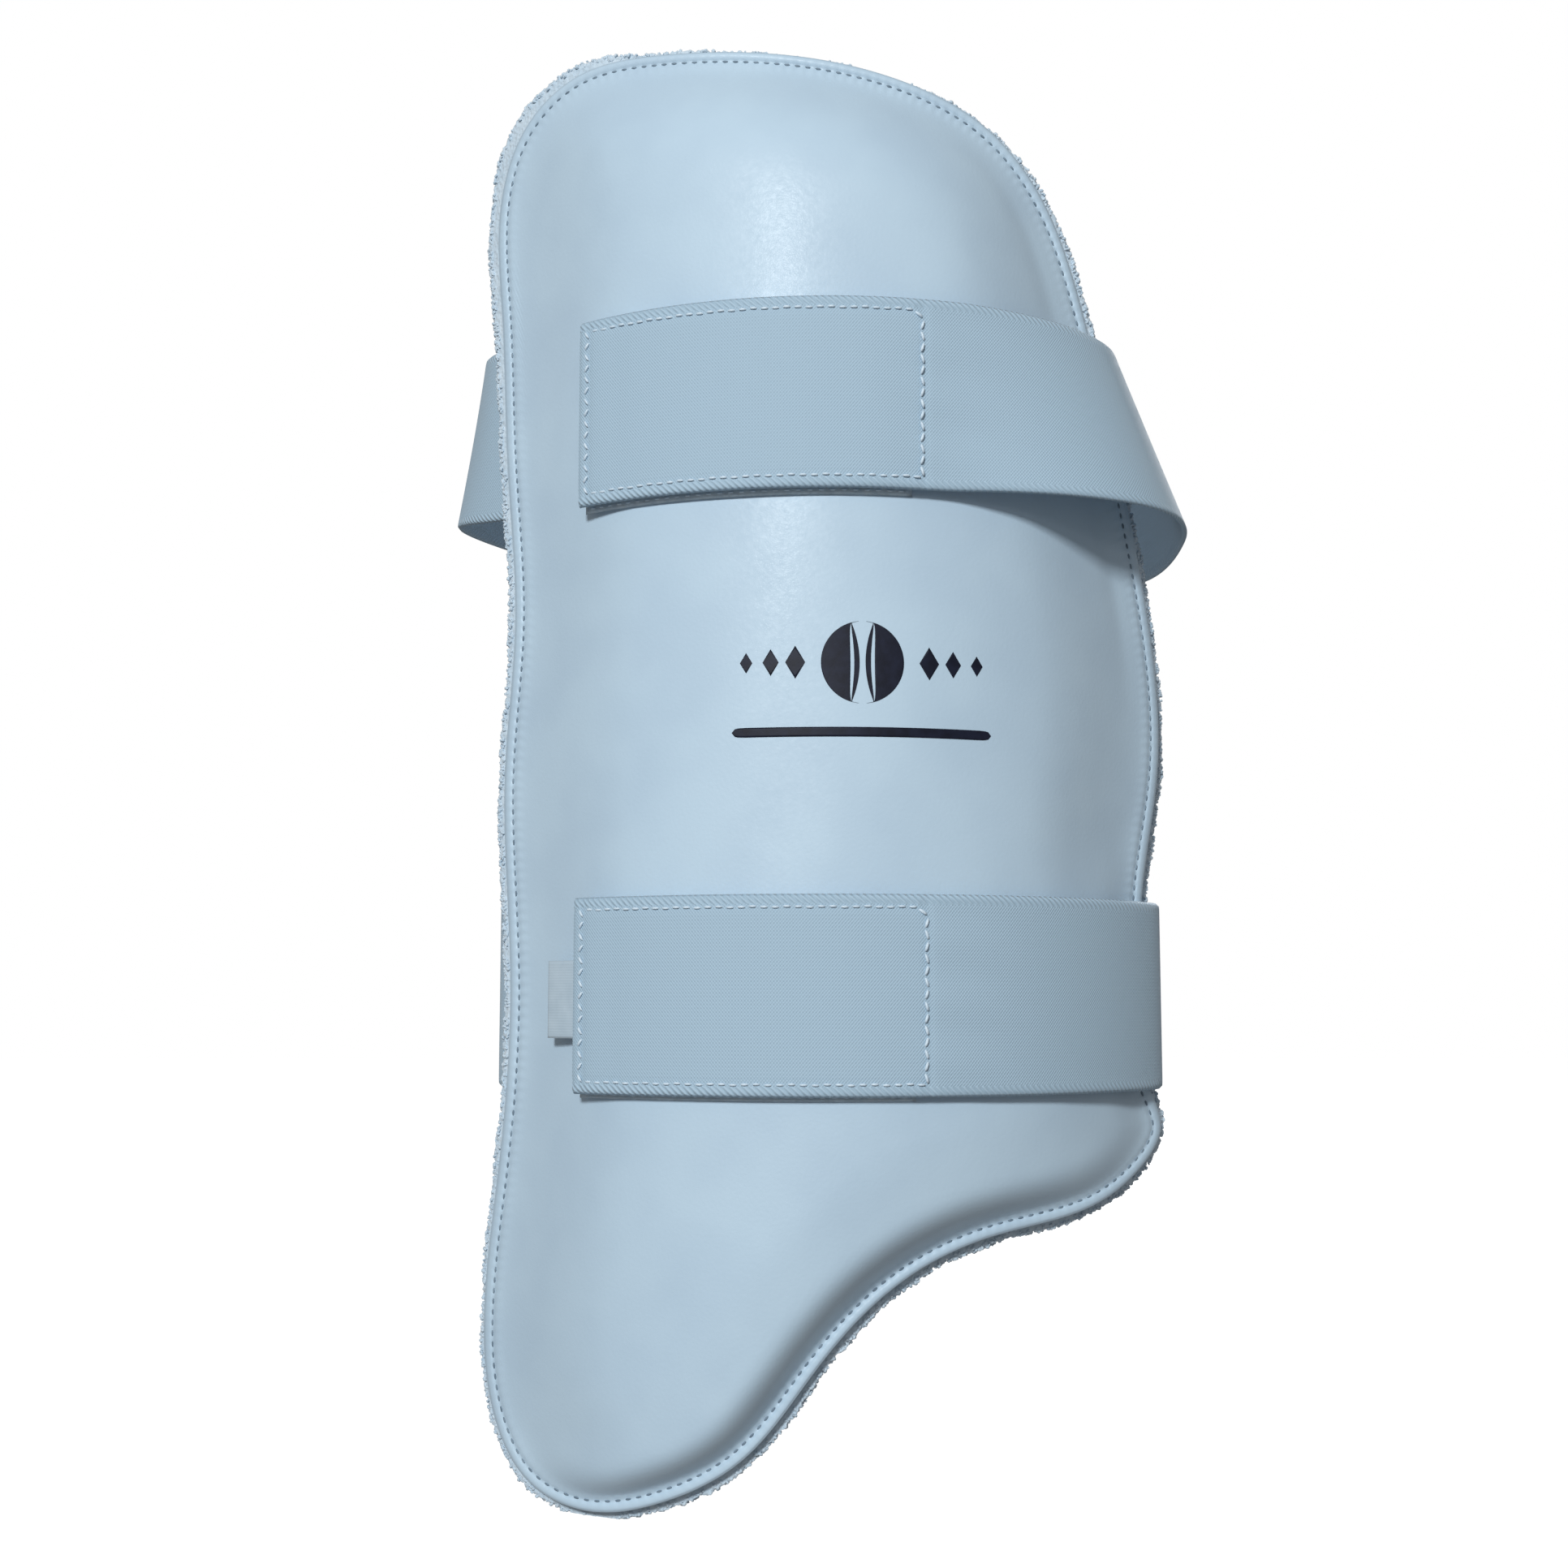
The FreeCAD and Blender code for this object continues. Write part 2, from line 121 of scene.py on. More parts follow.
def finish_mesh(name, mesh, merge=False):
    """Makes the object, merges coincident points where asked, turns faces outwards and smooths them.

    The rim of an end cap, a face of more than four sides, stays a crisp edge."""
    work = bmesh.new()
    work.from_mesh(mesh)
    if merge:
        bmesh.ops.remove_doubles(work, verts=work.verts, dist=1e-6)
        bmesh.ops.dissolve_degenerate(work, edges=work.edges, dist=1e-7)
    bmesh.ops.recalc_face_normals(work, faces=work.faces)
    for face in work.faces:
        if len(face.verts) > 4:
            for rim_edge in face.edges:
                rim_edge.smooth = False
    work.to_mesh(mesh)
    work.free()
    mesh.polygons.foreach_set("use_smooth", np.ones(len(mesh.polygons), dtype=bool))
    mesh.update()
    return new_object(name, mesh)


def scatter(name, shape, centres, along, up, scale=1.0):
    """Many copies of one small shape, given as its points and faces, as a single mesh.

    A copy's point is centre + along * x + across * y + up * z for each pattern point (x, y, z), with
    across square to the unit vectors up and along; scale multiplies (x, y, z) for all or for each copy."""
    pattern, faces = shape
    local = pattern[None, :, :] * np.broadcast_to(scale, (len(centres), 3))[:, None, :]
    points = centres[:, None, :] + sum(
        axis[:, None, :] * local[:, :, k:k + 1] for k, axis in enumerate((along, np.cross(up, along), up)))
    offset = np.arange(len(centres))[:, None, None] * len(pattern)
    mesh = bpy.data.meshes.new(name)
    mesh.from_pydata(points.reshape(-1, 3).tolist(), [], (faces[None] + offset).reshape(-1, 4).tolist())
    return finish_mesh(name, mesh)


def tube_pattern(path, radius, sides):
    """Points and quads of a thin tube along a path in its x-z plane.  Its ends are left open, so the radius
    falls to almost nothing there.

    Each ring is a circle square to the path; radius is one number per path point."""
    slope = np.gradient(path, axis=0)
    slope /= np.linalg.norm(slope, axis=1, keepdims=True)
    normal = joined(-slope[:, 2], 0, slope[:, 0])
    turn = np.linspace(0, 2 * np.pi, sides, endpoint=False)
    ring = (normal[:, None, :] * np.cos(turn)[None, :, None]
            + np.array([0, 1, 0])[None, None, :] * np.sin(turn)[None, :, None])
    points = (path[:, None, :] + ring * radius[:, None, None]).reshape(-1, 3)
    index = np.arange(len(path) * sides).reshape(len(path), sides)
    index = np.hstack([index, index[:, :1]])
    return points, quads(index)


# %% Smooth curve through points
def smooth_curve(points, knots, stops, closed=False):
    """Cubic curve that passes each point at its knot, with one slope and one bend where pieces meet.

    With gaps h and steps d = (next point - point) / h, the slopes m solve
    h m[i-1] + 2 (h' + h) m[i] + h' m[i+1] = 3 (h d' + h' d), where ' is the piece before.  A closed curve
    wraps round and has one more knot than points; an open one ends without bend."""
    p = np.asarray(points, float)
    h = np.diff(knots)
    count = len(p)
    if closed:
        step = (np.roll(p, -1, axis=0) - p) / h[:, None]
        before = np.roll(h, 1)
        system = (np.diag(2 * (before + h)) + np.roll(np.eye(count), -1, axis=1) * h[:, None]
                  + np.roll(np.eye(count), 1, axis=1) * before[:, None])
        right = 3 * (h[:, None] * np.roll(step, 1, axis=0) + before[:, None] * step)
    else:
        step = np.diff(p, axis=0) / h[:, None]
        system = np.diag(np.full(count, 2.0))
        system[0, 1] = system[-1, -2] = 1
        right = np.vstack([3 * step[:1], np.zeros((count - 2, p.shape[1])), 3 * step[-1:]])
        inner = np.arange(1, count - 1)
        system[inner, inner] = 2 * (h[:-1] + h[1:])
        system[inner, inner - 1] = h[1:]
        system[inner, inner + 1] = h[:-1]
        right[1:-1] = 3 * (h[1:, None] * step[:-1] + h[:-1, None] * step[1:])
    slopes = np.linalg.solve(system, right)
    stops = np.asarray(stops, float)
    piece = np.clip(np.searchsorted(knots, stops, side="right") - 1, 0, len(h) - 1)
    gap = h[piece][:, None]
    t = ((stops - np.asarray(knots)[piece]) / h[piece])[:, None]
    after = (piece + 1) % count
    return ((1 + 2 * t) * (1 - t) ** 2 * p[piece] + t * (1 - t) ** 2 * gap * slopes[piece]
            + t ** 2 * (3 - 2 * t) * p[after] - t ** 2 * (1 - t) * gap * slopes[after])


def ease(t):
    """0 below 0, 1 above 1 and a smooth step between: 3 t^2 - 2 t^3."""
    t = np.clip(t, 0, 1)
    return t * t * (3 - 2 * t)


def ridge(at, centre, width):
    """A smooth bump: e to the minus ((at - centre) / width) squared; centre and width in millimetres."""
    return np.exp(-((at - centre * MM) / (width * MM)) ** 2)


# %% [markdown]
# ## Tools for materials
# Every colour is picked as a screen (sRGB) hex value, and one function turns it to the linear numbers that
# Blender mixes light with.  One more function adds any node with its settings and its links.


# %% Colour and node helpers
def linear(hex_colour):
    """sRGB hex to linear red, green, blue and full alpha: ((c + 0.055) / 1.055) ^ 2.4 above 0.04045."""
    value = np.array([int(hex_colour[k:k + 2], 16) for k in (1, 3, 5)]) / 255
    straight = np.where(value <= 0.04045, value / 12.92, ((value + 0.055) / 1.055) ** 2.4)
    return (*straight.tolist(), 1.0)


def add_node(material, kind, settings=None, **inputs):
    """Adds a node of a kind; settings are its own properties.

    Each input is a value, or a socket to link from; in input names _ stands for a space, and a name that
    is a letter and a number, such as i0, means the input of that number."""
    tree = material.node_tree
    node = tree.nodes.new(kind)
    for key, value in (settings or {}).items():
        setattr(node, key, value)
    for key, value in inputs.items():
        socket = node.inputs[int(key[1:])] if key[1:].isdigit() else node.inputs[key.replace("_", " ")]
        if isinstance(value, bpy.types.NodeSocket):
            tree.links.new(value, socket)
        else:
            socket.default_value = value
    return node


def maths(material, operation, *values):
    """A Math node's result."""
    return add_node(material, "ShaderNodeMath", {"operation": operation},
                    **{"i%d" % k: value for k, value in enumerate(values)}).outputs[0]


def blend_colours(material, factor, first, second):
    """A mix of two colours by a factor."""
    mix = add_node(material, "ShaderNodeMix", {"data_type": "RGBA"}, i0=factor, i6=first, i7=second)
    return mix.outputs[2]


def new_material(name, roughness, ior=1.5, **shader_values):
    """A material with one Principled shader whose constant values are set on the shader itself."""
    material = bpy.data.materials.new(name)
    material.use_nodes = True
    shader = material.node_tree.nodes["Principled BSDF"]
    shader.inputs["Roughness"].default_value = roughness
    shader.inputs["IOR"].default_value = ior
    for key, value in shader_values.items():
        shader.inputs[key.replace("_", " ")].default_value = value
    return material


def drive(material, **sockets):
    """Links sockets to the inputs of the material's shader."""
    shader = material.node_tree.nodes["Principled BSDF"]
    for key, socket in sockets.items():
        material.node_tree.links.new(socket, shader.inputs[key.replace("_", " ")])


def dress(piece, body, slot_name, material, *nodes):
    """Rides the piece on its body, gives it its material and hides the CAD parts it stands for; slot_name is
    not used.
    """
    piece.data.materials.append(material)
    if body is not None:
        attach(piece, body)
    if nodes:
        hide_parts(*nodes)
    return piece


# %% [markdown]
# ## Camera, floor and light
# The camera comes first, because every later choice is judged through it.  The object is pale on a pale
# ground, so form is shown by light alone: one lamp high at the front left draws the long shade down the
# right side, a small one adds the upright gleam, one behind shows the towelling from the back, and a dim
# sky fills the rest.  A brighter sky would wash the shade out.

# %% Camera and light
scene = bpy.context.scene
scene.view_settings.view_transform = "Standard"

camera = new_object("camera", bpy.data.cameras.new("camera"))
camera.location = (-0.0113, -0.616, -0.062)
camera.rotation_euler = (np.radians(96), 0, 0)
camera.data.lens = 47.05
camera.data.sensor_width = 36
scene.camera = camera


def lamp(name, place, target, side, watts, colour="#ffffff"):
    """A square area lamp at a place, turned to face its target."""
    light = bpy.data.lights.new(name, "AREA")
    light.size = side
    light.energy = watts
    light.color = linear(colour)[:3]
    holder = new_object(name, light)
    holder.location = place
    holder.rotation_euler = (Vector(place) - Vector(target)).to_track_quat("Z", "Y").to_euler()


lamp("key_lamp", (-0.62, -2.5, 0.95), (0, 0, 0), 0.36, 56, "#fafeff")
lamp("strip_lamp", (-0.05, -1.5, 0.30), (0, -0.1, 0), 0.12, 0.55, "#f4f8ff")
lamp("back_lamp", (0.9, 2.3, 1.0), (0, 0, 0), 0.7, 32, "#fbfbff")

sky = bpy.data.worlds.new("studio")
sky.use_nodes = True
scene.world = sky
sky_tree = sky.node_tree
sky_shader = sky_tree.nodes["Background"]
sky_shader.inputs["Color"].default_value = linear("#ffffff")
sky_seen = sky_tree.nodes.new("ShaderNodeLightPath")
sky_range = sky_tree.nodes.new("ShaderNodeMapRange")
sky_range.inputs["To Min"].default_value = 0.225      # how strongly the sky lights the object
sky_range.inputs["To Max"].default_value = 1.0        # how bright it looks behind it
sky_tree.links.new(sky_seen.outputs["Is Camera Ray"], sky_range.inputs["Value"])
sky_tree.links.new(sky_range.outputs["Result"], sky_shader.inputs["Strength"])

# %% [markdown]
# ## The outline of the pad
# The pad is cut to one closed outline, and everything at its rim follows that line: the moulded cover
# stops 2 mm inside it, the running stitch 2.8 mm further in, and towelling shows beyond.  So the line is
# worked out once, as evenly spaced points with an inward direction at each.

# %% Outline and arcs
EDGE = np.array([
    (-14, 193), (-46, 196), (-71, 194.5), (-86, 184), (-93.5, 166), (-93, 130), (-90.5, 85),
    (-87.5, 40), (-90, 0), (-87.5, -55), (-90, -105), (-94, -145), (-91, -171), (-80, -188.5),
    (-61, -194.5), (-42, -190.5), (-21, -179), (-1, -155), (20, -134.5), (42, -124.5),
    (70, -118), (86, -108), (93, -97), (88, -82), (86.5, -58), (88.5, -32), (94, 0), (91.5, 45),
    (82, 90), (71.5, 131), (62, 155), (47, 173), (20, 186)], float) * MM
FACE_R, FACE_Y = 102 * MM, -4 * MM            # moulded face, seen from above
FLANGE_R, FLANGE_Y = 134.5 * MM, 45 * MM      # sewn flange and everything behind it
PITCH = 2.8 * MM                              # running stitch
PER_STITCH = 4
COVER_IN, STITCH_IN = 2.0 * MM, 2.8 * MM
MIDDLE = np.array([-10, -60]) * MM            # where the rings close, under the lower strap


def arc_y(radius, centre, x):
    """Depth of an upright round wall at x: its centre less the root of radius squared less x squared."""
    return centre - np.sqrt(np.maximum(radius ** 2 - np.asarray(x) ** 2, 1e-8))


def even_outline(points, inset, count):
    """count evenly spaced points on the closed outline moved inwards, their inward directions, the
    station number (nearest given point) of each, and the length round."""
    gaps = np.hypot(*(np.roll(points, -1, axis=0) - points).T)
    knots = np.hstack([0, np.cumsum(gaps)])
    dense = np.linspace(0, knots[-1], 12000, endpoint=False)
    line = smooth_curve(points, knots, dense, closed=True)
    slope = np.roll(line, -1, axis=0) - np.roll(line, 1, axis=0)
    slope /= np.hypot(*slope.T)[:, None]
    inward = joined(-slope[:, 1], slope[:, 0])
    line = line + inward * inset
    walked = np.hstack([0, np.cumsum(np.hypot(*np.diff(np.vstack([line, line[:1]]), axis=0).T))])
    pick = np.interp(np.arange(count) * walked[-1] / count, walked[:-1], np.arange(len(line)))
    low = np.floor(pick).astype(int)
    part = (pick - low)[:, None]
    nxt = (low + 1) % len(line)
    station = np.interp(dense[low], knots, np.arange(len(points) + 1))
    direction = inward[low] * (1 - part) + inward[nxt] * part
    return line[low] * (1 - part) + line[nxt] * part, direction, station, walked[-1]


stitch_length = even_outline(EDGE, COVER_IN + STITCH_IN, 400)[3]
STITCHES = int(round(stitch_length / PITCH))
on_stitch, inward, station, stitch_length = even_outline(
    EDGE, COVER_IN + STITCH_IN, STITCHES * PER_STITCH)
cover_edge = on_stitch - inward * STITCH_IN
print("stitch line %.0f mm, %d stitches" % (stitch_length / MM, STITCHES))

# %% [markdown]
# ## The moulded face
# The face is a skin of polyurethane-coated fabric pressed in a mould over a thick foam block.  It rises
# softly from the stitching at the top and left, but drops in a steep rounded wall along the hollow and the
# toe.  It could be sculpted or simulated, yet moulded foam is rigid and its form is exact, so the surface
# is a formula: flange plus a ramp times the space between flange and face, with the bead, the groove and
# the puckers of the stitching added near the rim.

# %% Formula of the face
HOLLOW = (station > 12.5) & (station < 25.4)      # steep wall along toe and hollow
RIGHT = ease((station - 26.2) / 1.0) * (1 - ease((station - 29.5) / 2.0))
BEAD, GROOVE, PUCKER, DIP = 0.28 * MM, 0.80 * MM, 0.30 * MM, 0.70 * MM     # heights and depths at the rim


def rim_facts(x, z):
    """For each point: distance inside the cover's edge, stitch phase, distances to the steep and to the
    gentle part of the edge, and how much it belongs to the right-hand side.

    The nearest edge point is found ring by ring; the distance is then the offset along its inward
    direction, and the phase is how far along a stitch the point lies, as an angle."""
    shape = x.shape
    facts = np.empty((5,) + shape)
    tangent = joined(inward[:, 1], -inward[:, 0])
    for row in range(shape[0]):
        dx = x[row][:, None] - cover_edge[None, :, 0]
        dz = z[row][:, None] - cover_edge[None, :, 1]
        gap = dx * dx + dz * dz
        near = np.argmin(gap, axis=1)
        here = np.arange(shape[1])
        nx, nz = dx[here, near], dz[here, near]
        facts[0, row] = nx * inward[near, 0] + nz * inward[near, 1]
        ahead = nx * tangent[near, 0] + nz * tangent[near, 1]
        facts[1, row] = (near + ahead / (PITCH / PER_STITCH)) * 2 * np.pi / PER_STITCH
        facts[2, row] = np.sqrt(gap[:, HOLLOW].min(axis=1))
        facts[3, row] = np.sqrt(gap[:, ~HOLLOW].min(axis=1))
        facts[4, row] = RIGHT[near]
    return facts


def ramp(distance, start, width, power):
    """From 0 at the start to 1 after the width: a soft foot, then 1 - (1 - t) ^ power."""
    t = np.clip((distance - start) / width, 0, 1)
    t = t * t * 1.1 / (t + 0.1)
    return 1 - (1 - np.minimum(t, 1)) ** power


def ripple(x, z):
    """Slow unevenness of a moulded skin: a sum of long crossing waves, about a quarter millimetre high."""
    return MM * (0.10 * np.sin(x / (17 * MM) + 0.7 * np.sin(z / (31 * MM)))
                 + 0.10 * np.sin(z / (23 * MM) + x / (41 * MM) + 1.3)
                 + 0.06 * np.sin(x / (7 * MM) - z / (13 * MM)))


def face_depth(x, z):
    """Depth y of the cover's outer face at each (x, z)."""
    inside, phase, steep, gentle, right = rim_facts(x, z)
    flange = arc_y(FLANGE_R, FLANGE_Y, x)
    rise = np.maximum(flange - arc_y(FACE_R, FACE_Y, np.clip(x, -0.1, 0.1)), 0)
    wall = (0.86 * ramp(steep, 3.8 * MM, 11 * MM, 2.3) + 0.14 * ease((steep - 6 * MM) / (26 * MM)))
    slope = ramp(gentle, 3.6 * MM, 34 * MM, 1.9)
    height = rise * wall * slope
    wave = 0.5 + 0.5 * np.cos(phase)
    height += BEAD * ridge(inside, 1.3, 0.9) * (0.6 + 0.4 * wave)
    height -= GROOVE * ridge(inside, 2.8, 0.50) * (0.35 + 0.65 * (1 - wave))
    height += PUCKER * ridge(inside, 4.3, 1.2) * wave
    height -= DIP * ridge(inside, 10, 2.6) * right
    height += ripple(x, z) * ease((inside - 5 * MM) / (12 * MM))
    height -= 0.55 * MM * (1 - ease(inside / (0.7 * MM)))
    return flange - height


def rings(edge, middle, depths, inner):
    """Rings from an edge to the middle: first at fixed depths along each ray, then inner rings that
    divide what is left evenly.  Returns x and z, one row per ring, the edge first."""
    ray = middle - edge
    length = np.hypot(*ray.T)
    part = [np.asarray(depth) / length for depth in depths]
    rest = np.linspace(0, 1, inner + 1)[1:]
    share = np.vstack(part + [part[-1] + (1 - part[-1]) * step for step in rest])
    points = edge[None] + ray[None] * share[:, :, None]
    return points[..., 0], points[..., 1]


def slab(name, x, z, front, back, uv=None):
    """A closed solid between a front and a back depth over the same rings."""
    grid = np.concatenate([joined(x, front, z)[::-1], joined(x, back, z)])
    return grid_piece(name, grid.transpose(1, 0, 2), uv=uv, wrap_u=True, merge=True)


RIM = np.array([0, .25, .55, .9, 1.3, 1.8, 2.3, 2.8, 3.3, 3.9, 4.6, 5.3, 6.1, 7, 8, 9.1, 10.3, 11.7, 13.3,
                15.2, 17.5, 20.2, 23.5, 27.5, 32]) * MM
face_x, face_z = rings(cover_edge, MIDDLE, RIM, 30)
face_y = face_depth(face_x, face_z)
print("face front %.1f mm" % (face_y.min() / MM))

# %% The cover as one closed skin
lining_y = np.minimum(face_y + 1.2 * MM, arc_y(FLANGE_R - 1.2 * MM, FLANGE_Y, face_x))
lining_y = np.maximum(lining_y, face_y + 0.5 * MM)
rounds = np.arange(len(cover_edge) + 1) * PITCH / PER_STITCH
inside = rim_facts(face_x, face_z)[0]
inside = np.concatenate([inside[::-1], -inside], axis=0).T
skin_uv = joined(rounds[:, None], np.vstack([inside, inside[:1]]))
face_cover = slab("moulded_cover", face_x, face_z, face_y, lining_y, skin_uv)
print("cover", len(face_cover.data.polygons), "faces")

# %% [markdown]
# ## Foam
# Two foams fill the pad and would be seen only where it is cut.  The moulded block's front lies just under
# the skin; its back lies on a thin soft sheet that spreads a blow.  Both are closed solids drawn in rings,
# as the skin is, and a little smaller than the skin.

# %% The foam inside
block_edge = cover_edge[::5] + inward[::5] * 9 * MM
block_x, block_z = rings(block_edge, MIDDLE, [0, 1 * MM, 3 * MM, 7 * MM, 14 * MM], 16)
block_back = arc_y(FLANGE_R - 1.3 * MM, FLANGE_Y, block_x)
block_front = np.minimum(face_depth(block_x, block_z) + 1.35 * MM, block_back - 0.1 * MM)
block_front[0] = block_back[0] - 0.05 * MM
foam_block = slab("foam_block", block_x, block_z, block_front, block_back)

SHEET_FRONT_R, SHEET_BACK_R = FLANGE_R - 1.35 * MM, FLANGE_R - 4.6 * MM
sheet_edge = cover_edge[::3] + inward[::3] * 0.6 * MM
sheet_x, sheet_z = rings(sheet_edge, MIDDLE, [0, 0.5 * MM, 2 * MM, 6 * MM, 14 * MM], 18)
foam_sheet = slab("foam_sheet", sheet_x, sheet_z, arc_y(SHEET_FRONT_R, FLANGE_Y, sheet_x),
                  arc_y(SHEET_BACK_R, FLANGE_Y, sheet_x))

# %% [markdown]
# ## Towelling
# The back is cotton towelling, woven with loops that stand up and catch sweat.  A particle system would
# make thousands of hairs that the export can't keep, so the cloth is a closed curved sheet with a lumpy
# pile, and real little loops stand along its cut edge, where they show against the light, and on its back.
# It is cut a little unevenly, so it shows beyond the pad by a different amount all the way round: most at
# the upper left corner, and hardly at all along the top.

# %% The sheet of towelling
TOWEL_FRONT_R, TOWEL_BACK_R = 129.8 * MM, 127.3 * MM
SHOWS = np.array([     # (station on the outline, millimetres of towelling beyond it)
    (0, -0.3), (1.2, 0.9), (1.9, 3.4), (2.6, 4.6), (3.4, 3.7), (4.1, 2.0), (5, 1.2), (6, 0.5), (9, 0.3),
    (11, -0.5), (12, 0.0), (13, 0.7), (15, 0.7), (18, 0.3), (22, -0.2), (24, 0.2), (27, 0.3), (29, 0.9),
    (30.5, 0.4), (32, -0.5)])
towel_edge, towel_in, towel_station, _ = even_outline(EDGE, 0, 1400)
shows = np.interp(towel_station, SHOWS[:, 0], SHOWS[:, 1]) * MM
walk = np.arange(len(towel_edge))
shows += 0.22 * MM * np.sin(walk * 0.19 + 1.7 * np.sin(walk * 0.031))
towel_edge = towel_edge - towel_in * shows[:, None]


def hashed(x, z, seed):
    """Repeatable noise from -1 to 1: the broken part of a large sine."""
    value = np.sin(x * 12989.8 + z * 78233.1 + seed * 37.7) * 43758.5453
    return 2 * (value - np.floor(value)) - 1


towel_x, towel_z = rings(towel_edge, MIDDLE, np.array([0, .6, 1.3, 2.2, 3.4, 5, 7, 9.5, 12.5, 16]) * MM, 58)
front = arc_y(TOWEL_FRONT_R, FLANGE_Y, towel_x)
quilt = np.sin(towel_x / (9 * MM) + np.sin(towel_z / (14 * MM))) * np.sin(towel_z / (11 * MM))
back = arc_y(TOWEL_BACK_R, FLANGE_Y, towel_x) + 0.18 * MM * quilt
fringe = np.exp(-np.arange(len(towel_x)) / 1.5)[:, None]
jog = hashed(towel_x, towel_z, 2) * 0.5 * MM * fringe
towel_x = towel_x - jog * towel_in[:, 0]
towel_z = towel_z - jog * towel_in[:, 1]
towel = slab("towelling", towel_x, towel_z, front, back)

# %% Loops of the pile
turn = np.linspace(0, np.pi, 6)
loop_path = joined(0.50 * np.cos(turn), 0, 0.75 * np.sin(turn) - 0.3) * MM
LOOP = tube_pattern(loop_path, np.array([.02, .38, .44, .44, .38, .02]) * MM, 5)


def unit(vectors):
    """Each vector divided by its length."""
    return vectors / np.linalg.norm(vectors, axis=-1, keepdims=True)


def loops(name, centres, out, spread, grow):
    """Scatters pile loops whose tips point along out, each leaning and turned at random and grown alike."""
    count = len(centres)
    up = unit(out + RNG.normal(0, spread, (count, 3)))
    along = unit(np.cross(up, RNG.normal(0, 1, (count, 3))))
    return scatter(name, LOOP, centres, along, up, grow * RNG.uniform(0.75, 1.3, (count, 1)))


# Along the cut edge they lean outwards and to the front, packed so close that they read as one soft band.
EDGE_LOOPS, BACK_LOOPS = 7600, 4900
where = RNG.integers(0, len(towel_edge), EDGE_LOOPS)
past_edge = RNG.uniform(-1.3, 0.15, EDGE_LOOPS) * MM
spots = towel_edge[where] - towel_in[where] * past_edge[:, None]
wall_r = RNG.uniform(127.6, 129.9, EDGE_LOOPS) * MM
edge_centres = joined(spots[:, 0], arc_y(wall_r, FLANGE_Y, spots[:, 0]), spots[:, 1])
edge_out = joined(-towel_in[where, 0], RNG.uniform(-1.1, 0.3, EDGE_LOOPS), -towel_in[where, 1])
edge_loops = loops("towelling_edge_loops", edge_centres, edge_out, 0.4, 0.85)

# On the back they are spread evenly, by the root of a random share of the way out from the middle.
pick_ring = RNG.uniform(0, 1, BACK_LOOPS) ** 0.5
pick_edge = RNG.integers(0, len(towel_edge), BACK_LOOPS)
back_edge = towel_edge[pick_edge] + towel_in[pick_edge] * 1.5 * MM
spots = MIDDLE + (back_edge - MIDDLE) * pick_ring[:, None]
back_centres = joined(spots[:, 0], arc_y(127.2 * MM, FLANGE_Y, spots[:, 0]), spots[:, 1])
back_out = unit(joined(-spots[:, 0], FLANGE_Y - back_centres[:, 1], 0))
back_loops = loops("towelling_back_loops", back_centres, back_out, 0.7, 1.75)
print("towelling loops", EDGE_LOOPS + BACK_LOOPS)

# %% [markdown]
# ## Running stitch
# One thread runs round the rim and pulls the skin down at every stitch.  Each stitch is a short thread
# lying in its own dimple, diving at both ends.  One shape of a few dozen faces is copied to every place.

# %% Rim stitches
half = np.linspace(-1, 1, 7)
stitch_path = joined(0.95 * half, 0, 0.35 * (1 - half ** 4) - 0.25) * MM
STITCH = tube_pattern(stitch_path, np.array([.02, .26, .3, .32, .3, .26, .02]) * MM, 6)
place = on_stitch[PER_STITCH // 2::PER_STITCH]
ahead = joined(inward[:, 1], -inward[:, 0])[PER_STITCH // 2::PER_STITCH]
place_y = face_depth(place[None, :, 0], place[None, :, 1])[0] - 0.20 * MM
STEP_X = 0.1 * MM
slope_y = (arc_y(FLANGE_R, FLANGE_Y, place[:, 0] + STEP_X)
           - arc_y(FLANGE_R, FLANGE_Y, place[:, 0] - STEP_X)) / (2 * STEP_X)
along = unit(joined(ahead[:, 0], ahead[:, 0] * slope_y, ahead[:, 1]))
face_out = unit(joined(slope_y, -1, 0))
rim_thread = scatter("rim_stitches", STITCH, joined(place[:, 0], place_y, place[:, 1]), along, face_out)
print("rim stitches", len(place))

# %% [markdown]
# ## Straps
# Each strap is one length of woven elastic: sewn behind the pad's left edge, round the thigh, past the
# right edge and back over the face to its tab.  A flat strip is a section carried along a path, so its two
# edges are two curves and every ring of the strip is drawn between them.  The strip is made in two pieces
# that meet at a given point along it.

# %% Path of each strap
SEAM_ANGLE, TIP_ANGLE = 14.3, -38.0
TAB_R = 105.5 * MM                    # middle of the elastic on the face
ANCHOR_R = 126.0 * MM                 # middle of its sewn end behind the towelling
THICK, WIDE = 1.6 * MM, 50 * MM
TAB_KNOTS = 9                         # given points on the tab; the last is at its seam
CUT = TAB_KNOTS + 1                   # the two pieces of a strap meet at this given point
UPPER_RISE = 7.1 * MM                 # the upper strap's sewn end lies this much higher than its tab


def on_arc(radius, degrees, centre, z):
    """Points on an upright round wall, at angles from the front; z may be a number or an array."""
    turn = np.radians(degrees)
    x = radius * np.sin(turn)
    return joined(x, centre - radius * np.cos(turn), z)


